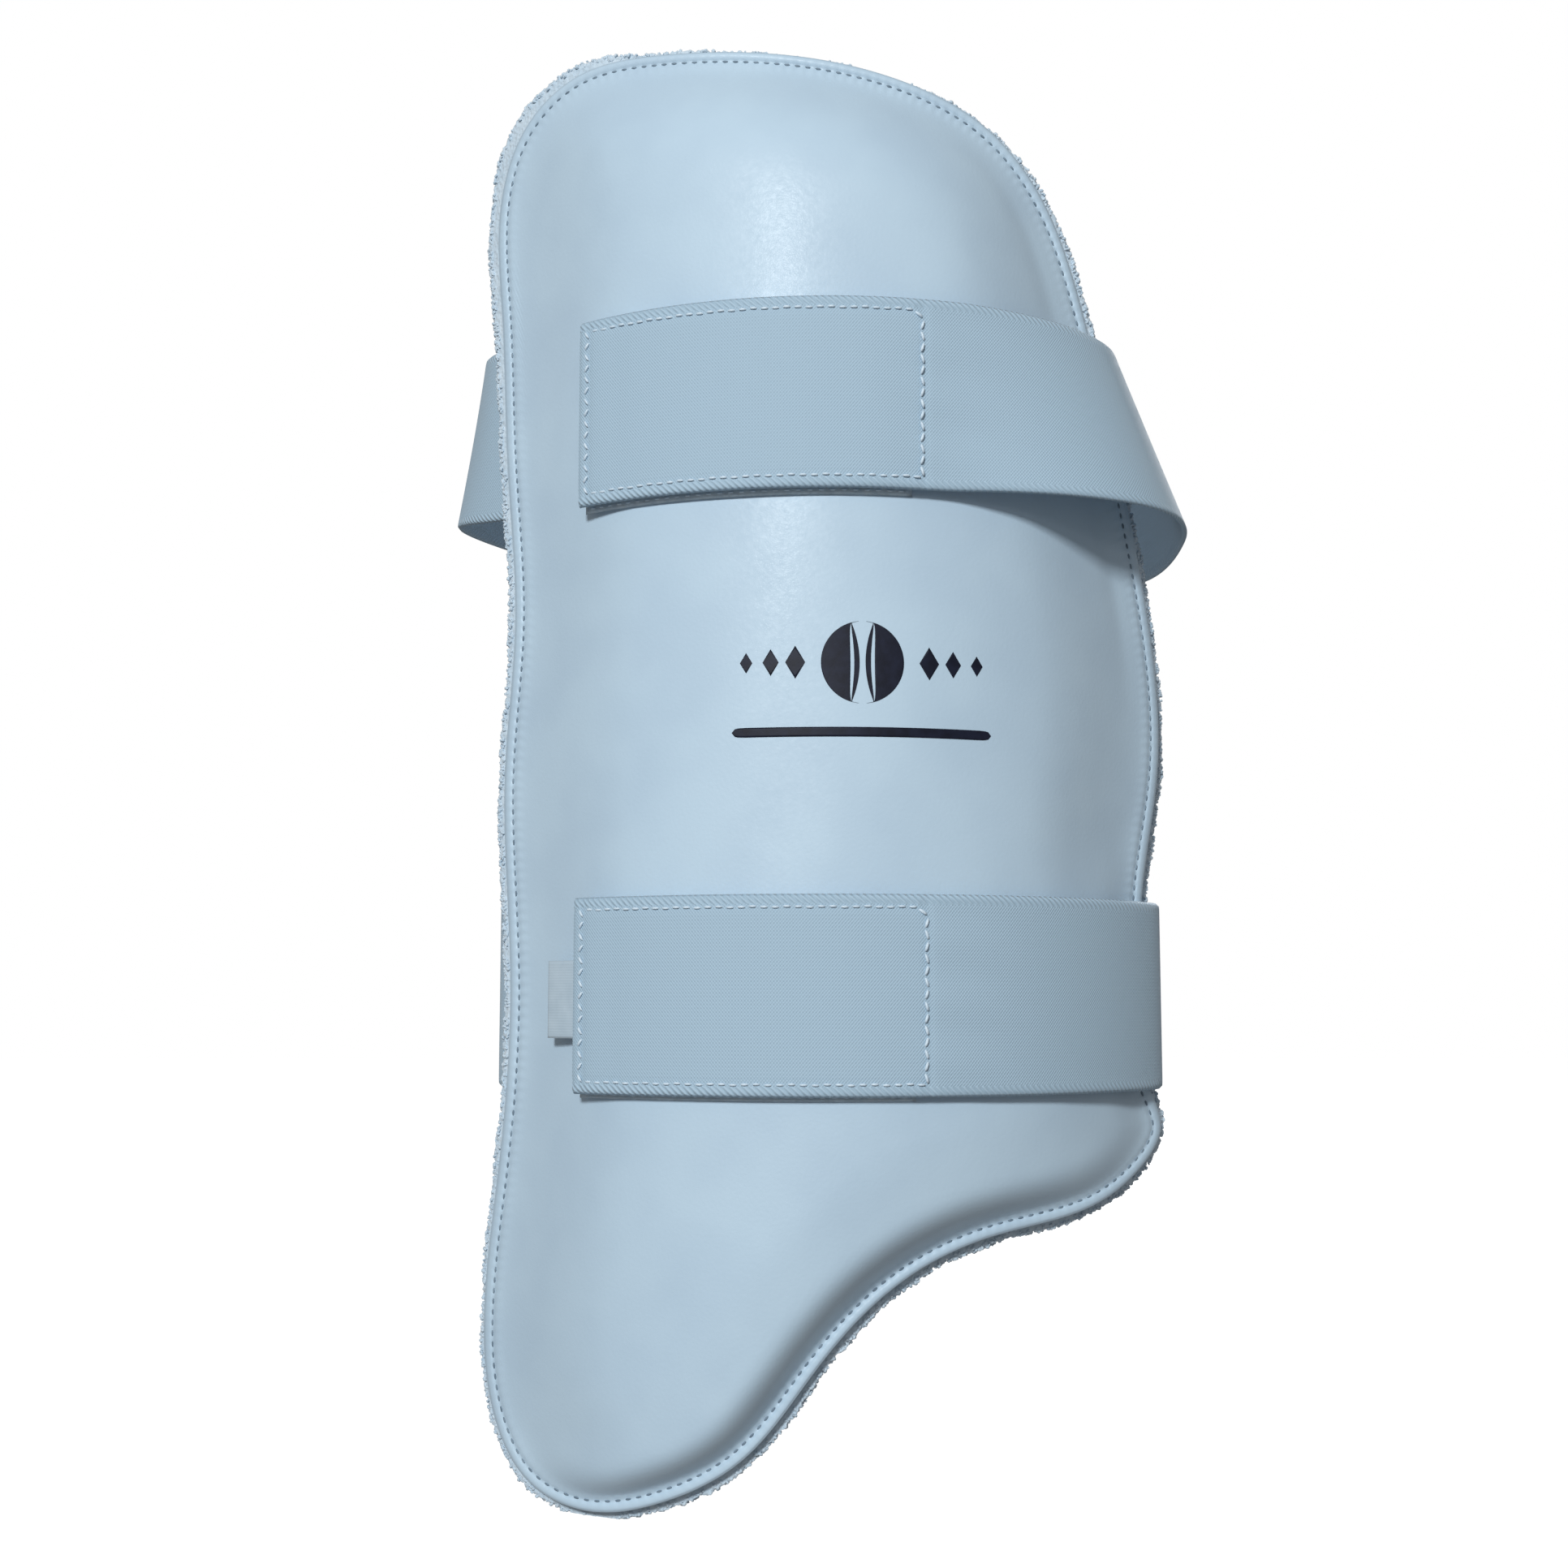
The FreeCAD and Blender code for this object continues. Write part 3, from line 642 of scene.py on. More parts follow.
UPPER_LOW, LOWER_LOW = 66.5 * MM, -86 * MM
UPPER_RUN = np.array([
    (48, -103.8, 66.5, 47, -98.6, 116.2), (70, -97.5, 66.5, 64, -88, 115.6),
    (88, -84, 66.7, 74.5, -76.5, 115.2), (99.5, -60, 67, 80, -61, 115.6),
    (103.5, -32, 67.2, 81, -42, 116.5), (104, -2, 67.5, 80, -15, 117.2),
    (97, 34, 69.5, 72, 17, 119), (68, 64, 72.5, 47, 43, 121.5), (22, 77, 75.5, 10, 53, 124),
    (-30, 76, 78, -32, 52, 127), (-79, 50, 79.5, -68, 35, 128.5), (-104, 12, 79.5, -92, 5, 128.5),
    (-108, -16, 77.5, -99, -16, 127), (-98.5, -34.5, 74.8, -95.5, -36, 124.5)]) * MM
LOWER_XY = np.array([
    (45, -99.6), (61, -90.2), (75, -78.2), (84, -67.8), (89.8, -57.5), (91.6, -42), (93.2, -15), (89, 18),
    (67, 50), (28, 66), (-15, 68), (-60, 55), (-87, 25), (-93, -4), (-92, -24), (-90.2, -37.6)]) * MM
LOWER_RUN = np.hstack([LOWER_XY, np.full((len(LOWER_XY), 1), LOWER_LOW),
                       LOWER_XY, np.full((len(LOWER_XY), 1), LOWER_LOW + WIDE)])


def strap_path(run, low, rise):
    """Given points of both edges from the tab's tip to the sewn end, and the distance along to each."""
    tab = np.linspace(TIP_ANGLE, SEAM_ANGLE, TAB_KNOTS)
    sewn = np.linspace(-44.3, -31, 5)
    first = np.hstack([on_arc(TAB_R, tab, FACE_Y, low), on_arc(TAB_R, tab, FACE_Y, low + WIDE)])
    last = np.hstack([on_arc(ANCHOR_R, sewn, FLANGE_Y, low + rise),
                      on_arc(ANCHOR_R, sewn, FLANGE_Y, low + rise + WIDE)])
    points = np.vstack([first, run, last])
    middle = (points[:, :3] + points[:, 3:]) / 2
    return points, np.hstack([0, np.cumsum(np.linalg.norm(np.diff(middle, axis=0), axis=1))])


STEP = 2.9 * MM              # pitch of the box stitches
BOX_EDGE = 3.2               # millimetres they lie inside the elastic's edges


def section(count):
    """The strip's rounded section as (across from 0 to 1, out from -1 to 1), once round.

    Out is the root of 1 - |2 across - 1| ^ 60, so the two edges are round and the faces flat."""
    across = (1 - np.cos(np.linspace(0, np.pi, count))) / 2
    across = 0.35 * across + 0.65 * np.linspace(0, 1, count)
    out = np.sqrt(1 - np.abs(2 * across - 1) ** 60)
    return np.hstack([across, across[-2:0:-1]]), np.hstack([out, -out[-2:0:-1]])


def strip(name, path, start, end, wave=None):
    """A piece of elastic between two distances along its path.

    A point is low edge + across * (high - low) + level normal * half thickness * out; wave(along, across)
    moves it outwards."""
    points, knots = path
    stops = np.linspace(start, end, int((end - start) / (1.1 * MM)) + 2)
    both = smooth_curve(points, knots, stops)
    slope = (smooth_curve(points, knots, stops + 1e-4) - smooth_curve(points, knots, stops - 1e-4))
    slope = unit(slope[:, :3] + slope[:, 3:])
    level = unit(joined(slope[:, 1], -slope[:, 0], 0))
    across, out = section(44)
    grid = (both[:, None, :3] * (1 - across)[None, :, None] + both[:, None, 3:] * across[None, :, None])
    lift = THICK / 2 * out[None, :] * np.ones((len(stops), 1))
    if wave is not None:
        lift = lift + wave(stops[:, None], across[None, :], out[None, :])
    grid = grid + level[:, None, :] * lift[:, :, None]
    wraps = np.hstack([across, across[:1]])
    return grid_piece(name, grid, uv=joined(stops[:, None], wraps[None] * WIDE), wrap_v=True, caps=True)


def tab_wave(along, across, out):
    """The folded hem at the tip, slight puckers beside the box of stitches, and sunk stitch lines."""
    front = 0.5 + 0.5 * np.sign(out)
    hem = 0.45 * MM * (1 - ease((along - 5 * MM) / (9 * MM))) * front
    tip_roll = -0.5 * MM * (1 - ease(along / (1.2 * MM))) * front
    pucker = ridge(along, 102, 9) * 0.28 * MM * np.sin(across * 21 + along / (6 * MM))
    edge = np.minimum(across, 1 - across) * WIDE
    beat = 0.7 + 0.3 * np.cos(along * 2 * np.pi / STEP)
    sunk = ridge(edge, BOX_EDGE, 0.7) * (along < 95 * MM) * 0.22 * MM * beat
    cross = ridge(along, 3, 0.7) + ridge(along, 94.4, 0.8)
    return hem + tip_roll + pucker - (sunk + 0.3 * MM * cross) * front


upper_path = strap_path(UPPER_RUN, UPPER_LOW, UPPER_RISE)
lower_path = strap_path(LOWER_RUN, LOWER_LOW, 0)
SIDES = (("upper", UPPER_LOW, UPPER_RISE), ("lower", LOWER_LOW, 0))
strap_pieces = []
for side, path in (("upper", upper_path), ("lower", lower_path)):
    knots = path[1]
    end_piece = strip(side + "_strap_end", path, 0, knots[CUT], tab_wave)
    loop_piece = strip(side + "_strap_loop", path, knots[CUT], knots[-1])
    strap_pieces.append((side, path, end_piece, loop_piece))
    print(side, "strap length %.0f mm, seam at %.1f" % (knots[-1] / MM, knots[TAB_KNOTS - 1] / MM))

# %% [markdown]
# ## Tapes
# Under each tab lie two hook-and-loop tapes: a brushed loop tape sewn to the face and a hook tape sewn
# under the tab.  Both are thin curved strips.  Real hooks are far finer than anything seen here, so the
# hook tape carries coarser ones, fifteen faces each, that still read as hooks when the tab is open.


# %% Curved tapes
def tape(name, radius, centre, thick, angles, heights, fuzz=0.0):
    """A thin strip with rounded edges on an upright round wall, its outer face roughened by fuzz."""
    rows = int((angles[1] - angles[0]) * np.radians(radius) / (0.8 * MM))
    turn = np.linspace(angles[0], angles[1], rows)
    across, out = section(56)
    radial = radius + thick / 2 + out[None] * thick / 2 * np.sqrt(1 - np.abs(
        np.linspace(-1, 1, rows)) ** 80)[:, None]
    z = heights[0] + across * (heights[1] - heights[0])
    radial = radial + hashed(turn[:, None] * 0.01, z[None], 5) * fuzz * (out[None] > 0.5)
    grid = on_arc(radial, turn[:, None], centre, z[None])
    uv_v = np.hstack([across, across[:1]]) * (heights[1] - heights[0])
    uv_u = np.radians(turn - turn[0]) * radius
    return grid_piece(name, grid, uv=joined(uv_u[:, None], uv_v[None]), wrap_v=True, caps=True)


LOOP_R, HOOK_R, PATCH_R = 102.05 * MM, 103.75 * MM, 123.7 * MM     # inner faces of the tapes
tapes = {}
for side, low, rise in SIDES:
    tapes[side + "_loop"] = tape(side + "_loop_tape", LOOP_R, FACE_Y, 1.2 * MM, (-38.3, 12.0),
                                 (low - 1.1 * MM, low + 48 * MM), 0.16 * MM)
    tapes[side + "_hook"] = tape(side + "_hook_tape", HOOK_R, FACE_Y, 0.9 * MM, (-37, 13.2),
                                 (low + 2.3 * MM, low + 48.5 * MM))
    tapes[side + "_anchor"] = tape(side + "_anchor_patch_skin", PATCH_R, FLANGE_Y, 1.0 * MM,
                                   (-42.4, -30.2), (low + rise - 1 * MM, low + rise + 51 * MM))

hook_turn = np.linspace(0, 1.25 * np.pi, 6)
hook_path = joined(0.22 * (1 - np.cos(hook_turn)), 0,
                   0.2 * hook_turn * 0.35 + 0.22 * np.sin(hook_turn)) * MM
HOOK = tube_pattern(hook_path, np.full(6, 0.09) * MM, 3)
hook_grid = np.stack(np.meshgrid(np.linspace(-36.4, 12.6, 46), np.linspace(3, 47, 26) * MM),
                     axis=-1).reshape(-1, 2)


def hook_field(name, low):
    """Rows of little hooks that stand inwards from the hook tape."""
    centres = on_arc(HOOK_R + 0.01 * MM, hook_grid[:, 0], FACE_Y, low + hook_grid[:, 1])
    inward_way = -unit(joined(centres[:, 0], centres[:, 1] - FACE_Y, 0))
    along = unit(np.cross(inward_way, np.array([0, 0, 1.0])))
    return scatter(name, HOOK, centres, along, inward_way)


hook_fields = {side: hook_field(side + "_hooks", low) for side, low, rise in SIDES}

# %% [markdown]
# ## Box stitching
# The hook tape is held by a box of stitches that shows on the tab's face, with a zigzag at the tip, where
# the hem is folded.  The stitches are the rim's little thread again, placed along four lines.

# %% Stitch lines on tabs, tapes and anchors
def line_stitches(name, radius, centre, corners, zigzag=0.0, wander=0.0, size=1.0, flip=1.0, rise=0.0):
    """Stitches along straight lines between corners (angle, height) on an upright round wall.

    Each stitch sits at the middle of its step; zigzag turns alternate ones up and down, wander moves the
    line sideways as a slow wave, and flip = -1 puts them on the wall's inner face."""
    centres, alongs, outs = [], [], []
    for (a0, z0), (a1, z1) in zip(corners[:-1], corners[1:]):
        length = np.hypot(np.radians(a1 - a0) * radius, z1 - z0)
        number = max(int(round(length / STEP)), 1)
        t = (np.arange(number) + 0.5) / number
        turn, z = a0 + (a1 - a0) * t, z0 + (z1 - z0) * t
        drift = wander * np.sin(np.arange(number) * 1.9)
        turn = turn + np.degrees(drift * (z1 - z0) / length / radius)
        z = z - drift * np.radians(a1 - a0) * radius / length
        way = np.array([np.radians(a1 - a0) * radius, z1 - z0]) / length
        sway = zigzag * (-1.0) ** np.arange(number)
        flat_x = way[0] * np.cos(sway) - way[1] * np.sin(sway)
        flat_z = way[0] * np.sin(sway) + way[1] * np.cos(sway)
        rad = np.radians(turn)
        centres.append(on_arc(radius, turn, centre, z))
        alongs.append(joined(flat_x * np.cos(rad), flat_x * np.sin(rad), flat_z))
        outs.append(flip * joined(np.sin(rad), -np.cos(rad), 0))
    centres, alongs, outs = (np.concatenate(part) for part in (centres, alongs, outs))
    return scatter(name, STITCH, centres + outs * rise, alongs, outs, size)


STITCH_R = TAB_R + THICK / 2          # outer face of the tabs
threads = {}
for side, low, rise in SIDES:
    box_low, box_high = low + BOX_EDGE * MM, low + WIDE - BOX_EDGE * MM
    lines = []
    for part, corners, settings in (
            ("_box_stitches", [(-35.8, box_low), (13.0, box_low)],
             dict(wander=0.12 * MM, size=1.08, rise=0.05 * MM)),
            ("_box_top", [(12.0, box_high), (-35.8, box_high)],
             dict(wander=0.12 * MM, size=1.08, rise=0.05 * MM)),
            ("_box_end", [(12.9, box_low), (13.1, box_high - 2.5 * MM), (12.0, box_high)],
             dict(zigzag=0.30, size=1.35, rise=0.1 * MM)),
            ("_tip_zigzag", [(-36.4, box_high + 0.6 * MM), (-36.4, box_low - 0.6 * MM)],
             dict(zigzag=0.62, size=1.2, rise=0.42 * MM))):
        lines.append(line_stitches(side + part, STITCH_R, FACE_Y, corners, **settings))
    threads[side + "_tab"] = lines
    threads[side + "_loop"] = line_stitches(
        side + "_loop_tape_stitches", LOOP_R + 1.2 * MM, FACE_Y,
        [(-37.4, low), (11.1, low), (11.1, low + 46 * MM), (-37.4, low + 46 * MM), (-37.4, low)], size=0.8)
    patch_low, patch_high = low + rise + 2.4 * MM, low + rise + WIDE - 2.4 * MM
    threads[side + "_anchor"] = line_stitches(
        side + "_anchor_stitches", PATCH_R, FLANGE_Y,
        [(-41.4, patch_low), (-31.2, patch_low), (-31.2, patch_high), (-41.4, patch_high),
         (-41.4, patch_low)], flip=-1.0, size=0.95)

# %% [markdown]
# ## Print
# The mark is a plain one of our own: a ball with its seam, a row of small diamonds to each side and a thin
# rule.  Screen ink is a film with real thickness, so each shape is a thin closed solid lying on the face.

# %% Ink films
def film(name, x, z, thick=0.14 * MM):
    """A thin closed solid of ink over a grid of (x, z): its front stands off the face, its back is in it."""
    depth = face_depth(x, z)
    grid = np.concatenate([joined(x, depth - thick, z), joined(x, depth + 0.1 * MM, z)[:, ::-1]], axis=1)
    return grid_piece(name, grid, wrap_v=True, caps=True)


BALL = np.array([8.5, 22.5]) * MM
BALL_R = 10.5 * MM
RULE_Z, RULE_HALF = 4.8 * MM, 33 * MM
ink_films = []
chord_z = np.linspace(-0.995, 0.995, 61) * BALL_R
chord = np.sqrt(BALL_R ** 2 - chord_z ** 2)
seam_x = np.minimum(0.75 * MM + 2.2 * MM * (chord_z / BALL_R) ** 2, chord * 0.92)
for hand, way in (("left", -1), ("right", 1)):
    # Each half of the ball is two bands, from the seam outwards, with a bare line between them.
    for part, (first, last) in enumerate(((0.0, 0.14), (0.24, 1.0))):
        share = first + (last - first) * np.linspace(0, 1, 24)
        x = BALL[0] + way * (seam_x[:, None] + (chord - seam_x)[:, None] * share[None])
        z = np.broadcast_to(BALL[1] + chord_z[:, None], x.shape)
        ink_films.append(film("ink_ball_%s_%d" % (hand, part), x, z))
    for step in range(3):
        half_high = (4.2 - 0.8 * step) * MM
        at_x = BALL[0] + way * (17 + 6.2 * step) * MM
        t = np.linspace(-0.985, 0.985, 25)[:, None]
        rows = np.linspace(-1, 1, 9)[None]
        x = at_x + 0.6 * half_high * t + 0 * rows
        z = BALL[1] + half_high * (1 - np.abs(t)) * rows
        ink_films.append(film("ink_diamond_%s_%d" % (hand, step), x, z))
t = np.linspace(-1, 1, 90)[:, None]
rule_high = 1.2 * MM * np.sqrt(1 - np.abs(t) ** 40) + 0.02 * MM
z = RULE_Z + np.linspace(-1, 1, 6)[None] * rule_high
ink_films.append(film("ink_rule", np.broadcast_to(BALL[0] + RULE_HALF * t, z.shape), z))
print("ink films", len(ink_films))

# %% [markdown]
# ## The folded label
# A short satin ribbon folded in two and sewn in at the lower tab's tip, left blank.  Its two layers are one
# sheet that turns back at the outer end, given its thickness by a Solidify modifier.

# %% Label ribbon
LABEL_LOW, LABEL_HIGH = -72 * MM, -52 * MM
FOLD_FROM, FOLD_TO = 0.45, 0.55
fold = np.linspace(0, 1, 60)          # 0 at the upper layer's sewn end, 1 at the lower layer's
reach_out = np.clip(np.where(fold < FOLD_FROM, fold / FOLD_FROM,
                             np.where(fold > FOLD_TO, (1 - fold) / FOLD_FROM, 1.0)), 0, 1)
turned = (fold >= FOLD_FROM) & (fold <= FOLD_TO)
round_fold = np.pi * (fold - FOLD_FROM) / 0.1
label_turn = np.where(turned, -44.7 - 0.25 * np.sin(round_fold), -38.6 - 6.1 * reach_out)
lift = np.where(fold < 0.5, 0.95, 0.15) * MM + 0.5 * MM * np.sin(np.pi * reach_out * 0.5)
lift = np.where(turned, 1.05 * MM - 0.4 * MM * (1 - np.cos(round_fold)), lift)
label_z = np.linspace(LABEL_LOW, LABEL_HIGH, 26)
label_line = on_arc(102.25 * MM + lift, label_turn, FACE_Y, 0.0)
label_grid = np.repeat(label_line[:, None, :], len(label_z), axis=1)
label_grid[..., 2] = label_z[None]
label = grid_piece("blank_label", label_grid, uv=joined((fold * 14 * MM)[:, None], label_z[None]))
ribbon_thickness = label.modifiers.new("thickness", "SOLIDIFY")
ribbon_thickness.thickness = 0.25 * MM
ribbon_thickness.offset = 0

# %% [markdown]
# ## Materials
# Almost everything is one pale blue, so the finishes must tell the parts apart: satin skin, dry woven
# elastic, fluffy towelling, twisted thread.  The difference lies in roughness and relief, not in colour.
# Patterns are worked out from real sizes in millimetres: an object coordinate or a UV unit is one metre.


# %% Pattern helpers
def pattern(material, kind, size_mm, output=0, settings=None, **inputs):
    """A texture's result at the point on the piece, with grains or bands about size_mm wide."""
    place = add_node(material, "ShaderNodeTexCoord").outputs["Object"]
    return add_node(material, "ShaderNodeTex" + kind, settings, Vector=place, Scale=1 / (size_mm * MM),
                    **inputs).outputs[output]


def noise(material, size_mm, detail=3.0, roughness=0.55):
    """Cloudy noise; each step of detail adds noise half as wide."""
    return pattern(material, "Noise", size_mm, Detail=detail, Roughness=roughness)


def relief(material, height, depth_mm, strength=1.0, under=None):
    """A bump whose full height is depth_mm, laid over another bump where one is given."""
    links = {"Normal": under} if under is not None else {}
    return add_node(material, "ShaderNodeBump", Height=height, Distance=depth_mm * MM, Strength=strength,
                    **links).outputs[0]


def cells(material, size_mm, feature="F1"):
    """Distance to the nearest of scattered points about size_mm apart."""
    return pattern(material, "Voronoi", size_mm, "Distance", {"feature": feature})


def mottle(material, first, second, size_mm):
    """Two close tones mixed by slow noise."""
    slow = add_node(material, "ShaderNodeMapRange", i0=noise(material, size_mm, 2.0), i1=0.35, i2=0.65)
    return blend_colours(material, slow.outputs[0], linear(first), linear(second))


# %% Moulded skin
# Polyurethane-coated knit, pressed hot in a mould: satin with a fine grain that breaks the highlight into
# tiny points.  The grain is drawn near a millimetre, coarser than real, so that it shows.
skin = new_material("polyurethane_coated_skin", 0.40, 1.5, Sheen_Weight=0.08, Sheen_Roughness=0.5,
                    Specular_IOR_Level=0.36, Coat_Weight=0.045, Coat_Roughness=0.17)
fine = relief(skin, cells(skin, 0.9, "SMOOTH_F1"), 0.05, 0.55)
fine = relief(skin, noise(skin, 0.35, 2.0), 0.03, 0.5, fine)
gloss = add_node(skin, "ShaderNodeMapRange", i0=noise(skin, 1.6, 4.0), i1=0.3, i2=0.7, i3=0.42, i4=0.56)
specks = relief(skin, noise(skin, 0.9, 2.0, 0.7), 0.10, 0.8)
drive(skin, Base_Color=mottle(skin, "#b7ccdd", "#bdd2e2", 28), Normal=fine,
      Roughness=gloss.outputs[0], Coat_Normal=specks)

# %% Foams
# Closed-cell block and open-cell sheet: matt, with cells that show only where the foam is cut.
block_foam = new_material("closed_cell_foam", 0.85)
drive(block_foam, Base_Color=mottle(block_foam, "#e4e6e3", "#ecedea", 9),
      Normal=relief(block_foam, cells(block_foam, 0.8), 0.15))
sheet_foam = new_material("open_cell_foam", 0.95)
drive(sheet_foam, Base_Color=mottle(sheet_foam, "#cfd9e0", "#d8e1e7", 7),
      Normal=relief(sheet_foam, cells(sheet_foam, 0.6), 0.2))

# %% Towelling
# Looped cotton: rough, soft-edged against the light, each loop a lump about a millimetre across.
terry = new_material("cotton_towelling", 0.95, 1.5, Sheen_Weight=0.35, Sheen_Roughness=0.6)
lumps = relief(terry, cells(terry, 1.1, "SMOOTH_F1"), 0.6, 0.8)
drive(terry, Base_Color=mottle(terry, "#bfd2e1", "#cddce8", 6),
      Normal=relief(terry, noise(terry, 0.4, 2.0), 0.12, 0.7, lumps))

# %% Thread
# Twisted polyester sewing thread: smooth, with a slight shine along the twist.  The thread round the rim is
# sunk in the skin and coloured a darker grey, painted shade of the slits it lies in, so that it reads as a
# row of dark dashes.
thread = new_material("polyester_thread", 0.45, 1.55, Sheen_Weight=0.1)
twist = pattern(thread, "Wave", 2.5, "Fac", {"bands_direction": "DIAGONAL"}, Distortion=1.0)
drive(thread, Base_Color=mottle(thread, "#c9dae8", "#d3e2ee", 5),
      Normal=relief(thread, twist, 0.06, 0.7))

# Rim thread: its dark grey is painted shade of the slits it lies in.
painted_shade_thread = new_material("polyester_thread_painted_shade", 0.6, 1.55, Sheen_Weight=0.1)
drive(painted_shade_thread, Base_Color=mottle(painted_shade_thread, "#647686", "#7e909f", 5),
      Normal=relief(painted_shade_thread, noise(painted_shade_thread, 0.3, 2.0), 0.06, 0.7))

# %% Woven elastic
# Rubber cores run lengthways under a close weave of polyester, so the face has fine ribs along the strap,
# crossed by weft, and a thicker twill selvedge at both edges.  Pitch 0.95 mm across, 0.8 mm along.
elastic = new_material("woven_elastic", 0.68, 1.5, Sheen_Weight=0.15, Sheen_Roughness=0.45)
cloth = add_node(elastic, "ShaderNodeSeparateXYZ",
                 Vector=add_node(elastic, "ShaderNodeUVMap", {"uv_map": "cloth"}).outputs[0])
RIB, WEFT, TWILL = 0.95 * MM, 0.8 * MM, 1.7 * MM


def times(first, second):
    """Product of two values in the elastic's material."""
    return maths(elastic, "MULTIPLY", first, second)


def bands(place, pitch):
    """Sine of 2 pi place / pitch."""
    return maths(elastic, "SINE", times(place, 2 * np.pi / pitch))


ribs, weft = bands(cloth.outputs[1], RIB), bands(cloth.outputs[0], WEFT)
body_weave = maths(elastic, "MULTIPLY_ADD", times(ribs, weft), 0.6, times(ribs, 0.10))
twill = bands(maths(elastic, "ADD", cloth.outputs[0], cloth.outputs[1]), TWILL)
from_middle = maths(elastic, "ABSOLUTE", maths(elastic, "SUBTRACT", cloth.outputs[1], WIDE / 2))
selvedge = add_node(elastic, "ShaderNodeMapRange", i0=from_middle, i1=22.2 * MM, i2=22.8 * MM).outputs[0]
weave = maths(elastic, "ADD", times(twill, selvedge),
              times(body_weave, maths(elastic, "SUBTRACT", 1.0, selvedge)))
close = relief(elastic, weave, 0.13, 0.85)
close = relief(elastic, noise(elastic, 0.5, 2.0), 0.08, 0.4, close)
tone = maths(elastic, "MULTIPLY_ADD", weave, 0.34, 0.5)
drive(elastic, Normal=close, Base_Color=blend_colours(
    elastic, tone, linear("#9fb8ca"), linear("#b0c7d8")))

# %% Hook and loop tapes
# Brushed nylon loops, matt and slightly hairy; and a tight nylon ground that carries the hooks.
pile_tape = new_material("brushed_loop_tape", 0.9, 1.5, Sheen_Weight=0.4, Sheen_Roughness=0.5)
tangle = pattern(pile_tape, "Noise", 0.8, Detail=5.0, Roughness=0.7, Distortion=1.6)
drive(pile_tape, Base_Color=mottle(pile_tape, "#b4c7d5", "#c6d6e1", 2.5),
      Normal=relief(pile_tape, tangle, 0.45, 0.9))
hook_tape = new_material("nylon_hook_tape", 0.5, 1.53)
drive(hook_tape, Base_Color=mottle(hook_tape, "#b8c6d0", "#c2d0da", 4),
      Normal=relief(hook_tape, cells(hook_tape, 1.1), 0.12, 0.8))

# %% Ink and label tape
# Screen ink: a dark navy film, smoother than the skin, following its grain.  Label: satin ribbon.
ink = new_material("screen_ink", 0.5, 1.5, Specular_IOR_Level=0.2)
drive(ink, Base_Color=mottle(ink, "#121524", "#1a1e30", 3),
      Normal=relief(ink, noise(ink, 0.4, 3.0), 0.04, 0.5))
ribbon = new_material("satin_ribbon", 0.42, 1.5, Sheen_Weight=0.2)
lines = pattern(ribbon, "Wave", 2.2, "Fac", {"bands_direction": "Z"})
drive(ribbon, Base_Color=mottle(ribbon, "#aebfcc", "#b9c9d5", 6),
      Normal=relief(ribbon, lines, 0.05, 0.5))

# %% [markdown]
# ## Putting it together
# Each pad and tab piece rides on the body that carries it, takes its material and hides the CAD solids it
# stands for.
# The two pieces of each strap ride on no body; they take their material and hide their CAD solids.


# %% Joining small parts
def gather(name, pieces):
    """One mesh made of several, for parts of one finish that always move together."""
    work = bmesh.new()
    for piece in pieces:
        work.from_mesh(piece.data)
        bpy.data.objects.remove(piece)
    mesh = bpy.data.meshes.new(name)
    work.to_mesh(mesh)
    work.free()
    return new_object(name, mesh)


# %% The pad's own pieces
dress(face_cover, "pad", "pu_skin", skin, "face_cover")
dress(foam_block, "pad", "hard_foam", block_foam, "impact_foam")
dress(foam_sheet, "pad", "soft_foam", sheet_foam, "comfort_foam")
dress(towel, "pad", "towelling", terry, "towel_lining")
dress(edge_loops, "pad", "towelling", terry)
dress(back_loops, "pad", "towelling", terry)
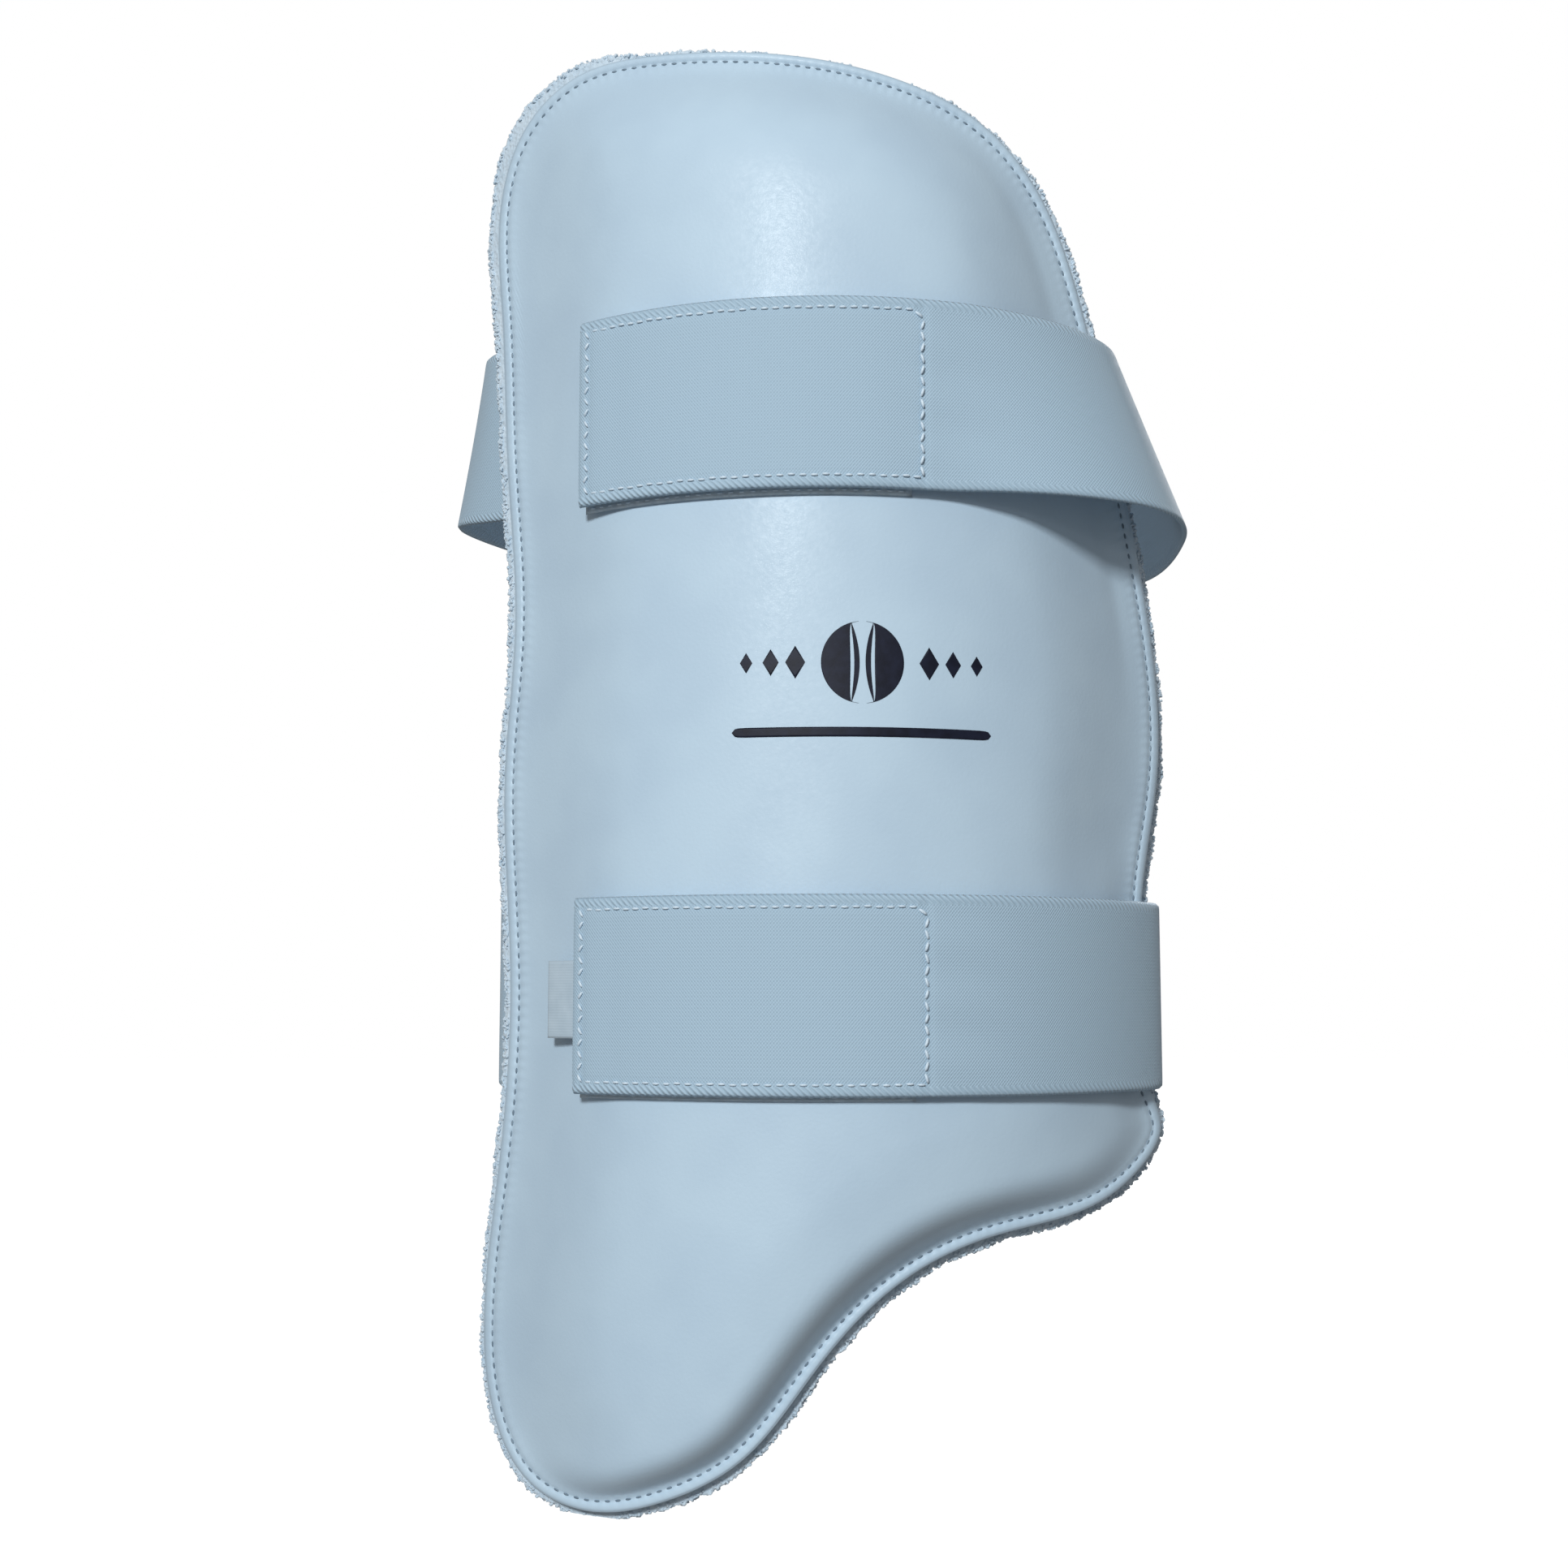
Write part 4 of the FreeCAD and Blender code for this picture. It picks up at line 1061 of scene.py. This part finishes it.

# The towelling is one sheet, cut flat to the outline and sewn on.
dress(rim_thread, "pad", "thread", painted_shade_thread, "edge_thread")
dress(gather("printed_mark", ink_films), "pad", "ink", ink, "printed_emblem")
dress(label, "pad", "label_tape", ribbon, "size_label")

# %% Tapes, hooks and stitches
for side, _, _ in SIDES:
    tab = side + "_tab"
    dress(tapes[side + "_loop"], "pad", "loop_fabric", pile_tape, side + "_loop_patch")
    dress(tapes[side + "_anchor"], "pad", "pu_skin", skin, side + "_anchor_patch")
    dress(tapes[side + "_hook"], tab, "hook_fabric", hook_tape, side + "_hook_patch")
    dress(hook_fields[side], tab, "hook_fabric", hook_tape)
    dress(threads[side + "_loop"], "pad", "thread", thread, side + "_loop_thread")
    dress(threads[side + "_anchor"], "pad", "thread", thread, side + "_anchor_thread")
    dress(gather(side + "_tab_stitches", threads[side + "_tab"]), tab, "thread", thread,
          side + "_tab_thread")


for side, path, end_piece, loop_piece in strap_pieces:
    strap, tab = side + "_strap", side + "_tab"
    dress(loop_piece, None, "elastic", elastic, side + "_elastic_loop")
    dress(end_piece, None, "elastic", elastic, side + "_elastic_front", side + "_elastic_end")
    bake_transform(loop_piece)
    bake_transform(end_piece)

# %% [markdown]
# ## Floor
# The floor is a wide pale plate just under the pad; it rides on no body, so it isn't part of the object.

# %% Floor
FLOOR_HALF = 4.0
floor_z = CAD_LOW[2] - 0.2 * MM
floor_mesh = bpy.data.meshes.new("floor")
floor_mesh.from_pydata([(x * FLOOR_HALF, y * FLOOR_HALF, floor_z)
                        for x, y in ((-1, -1), (1, -1), (1, 1), (-1, 1))], [], [(0, 1, 2, 3)])
floor = new_object("floor", floor_mesh)
pale = new_material("pale_studio_floor", 0.9, Base_Color=linear("#8c8c8c"),
                    Emission_Color=linear("#ffffff"), Emission_Strength=0.93)
floor_mesh.materials.append(pale)
floor.visible_diffuse = False          # its glow is for the eye only and lights nothing
floor.visible_glossy = False
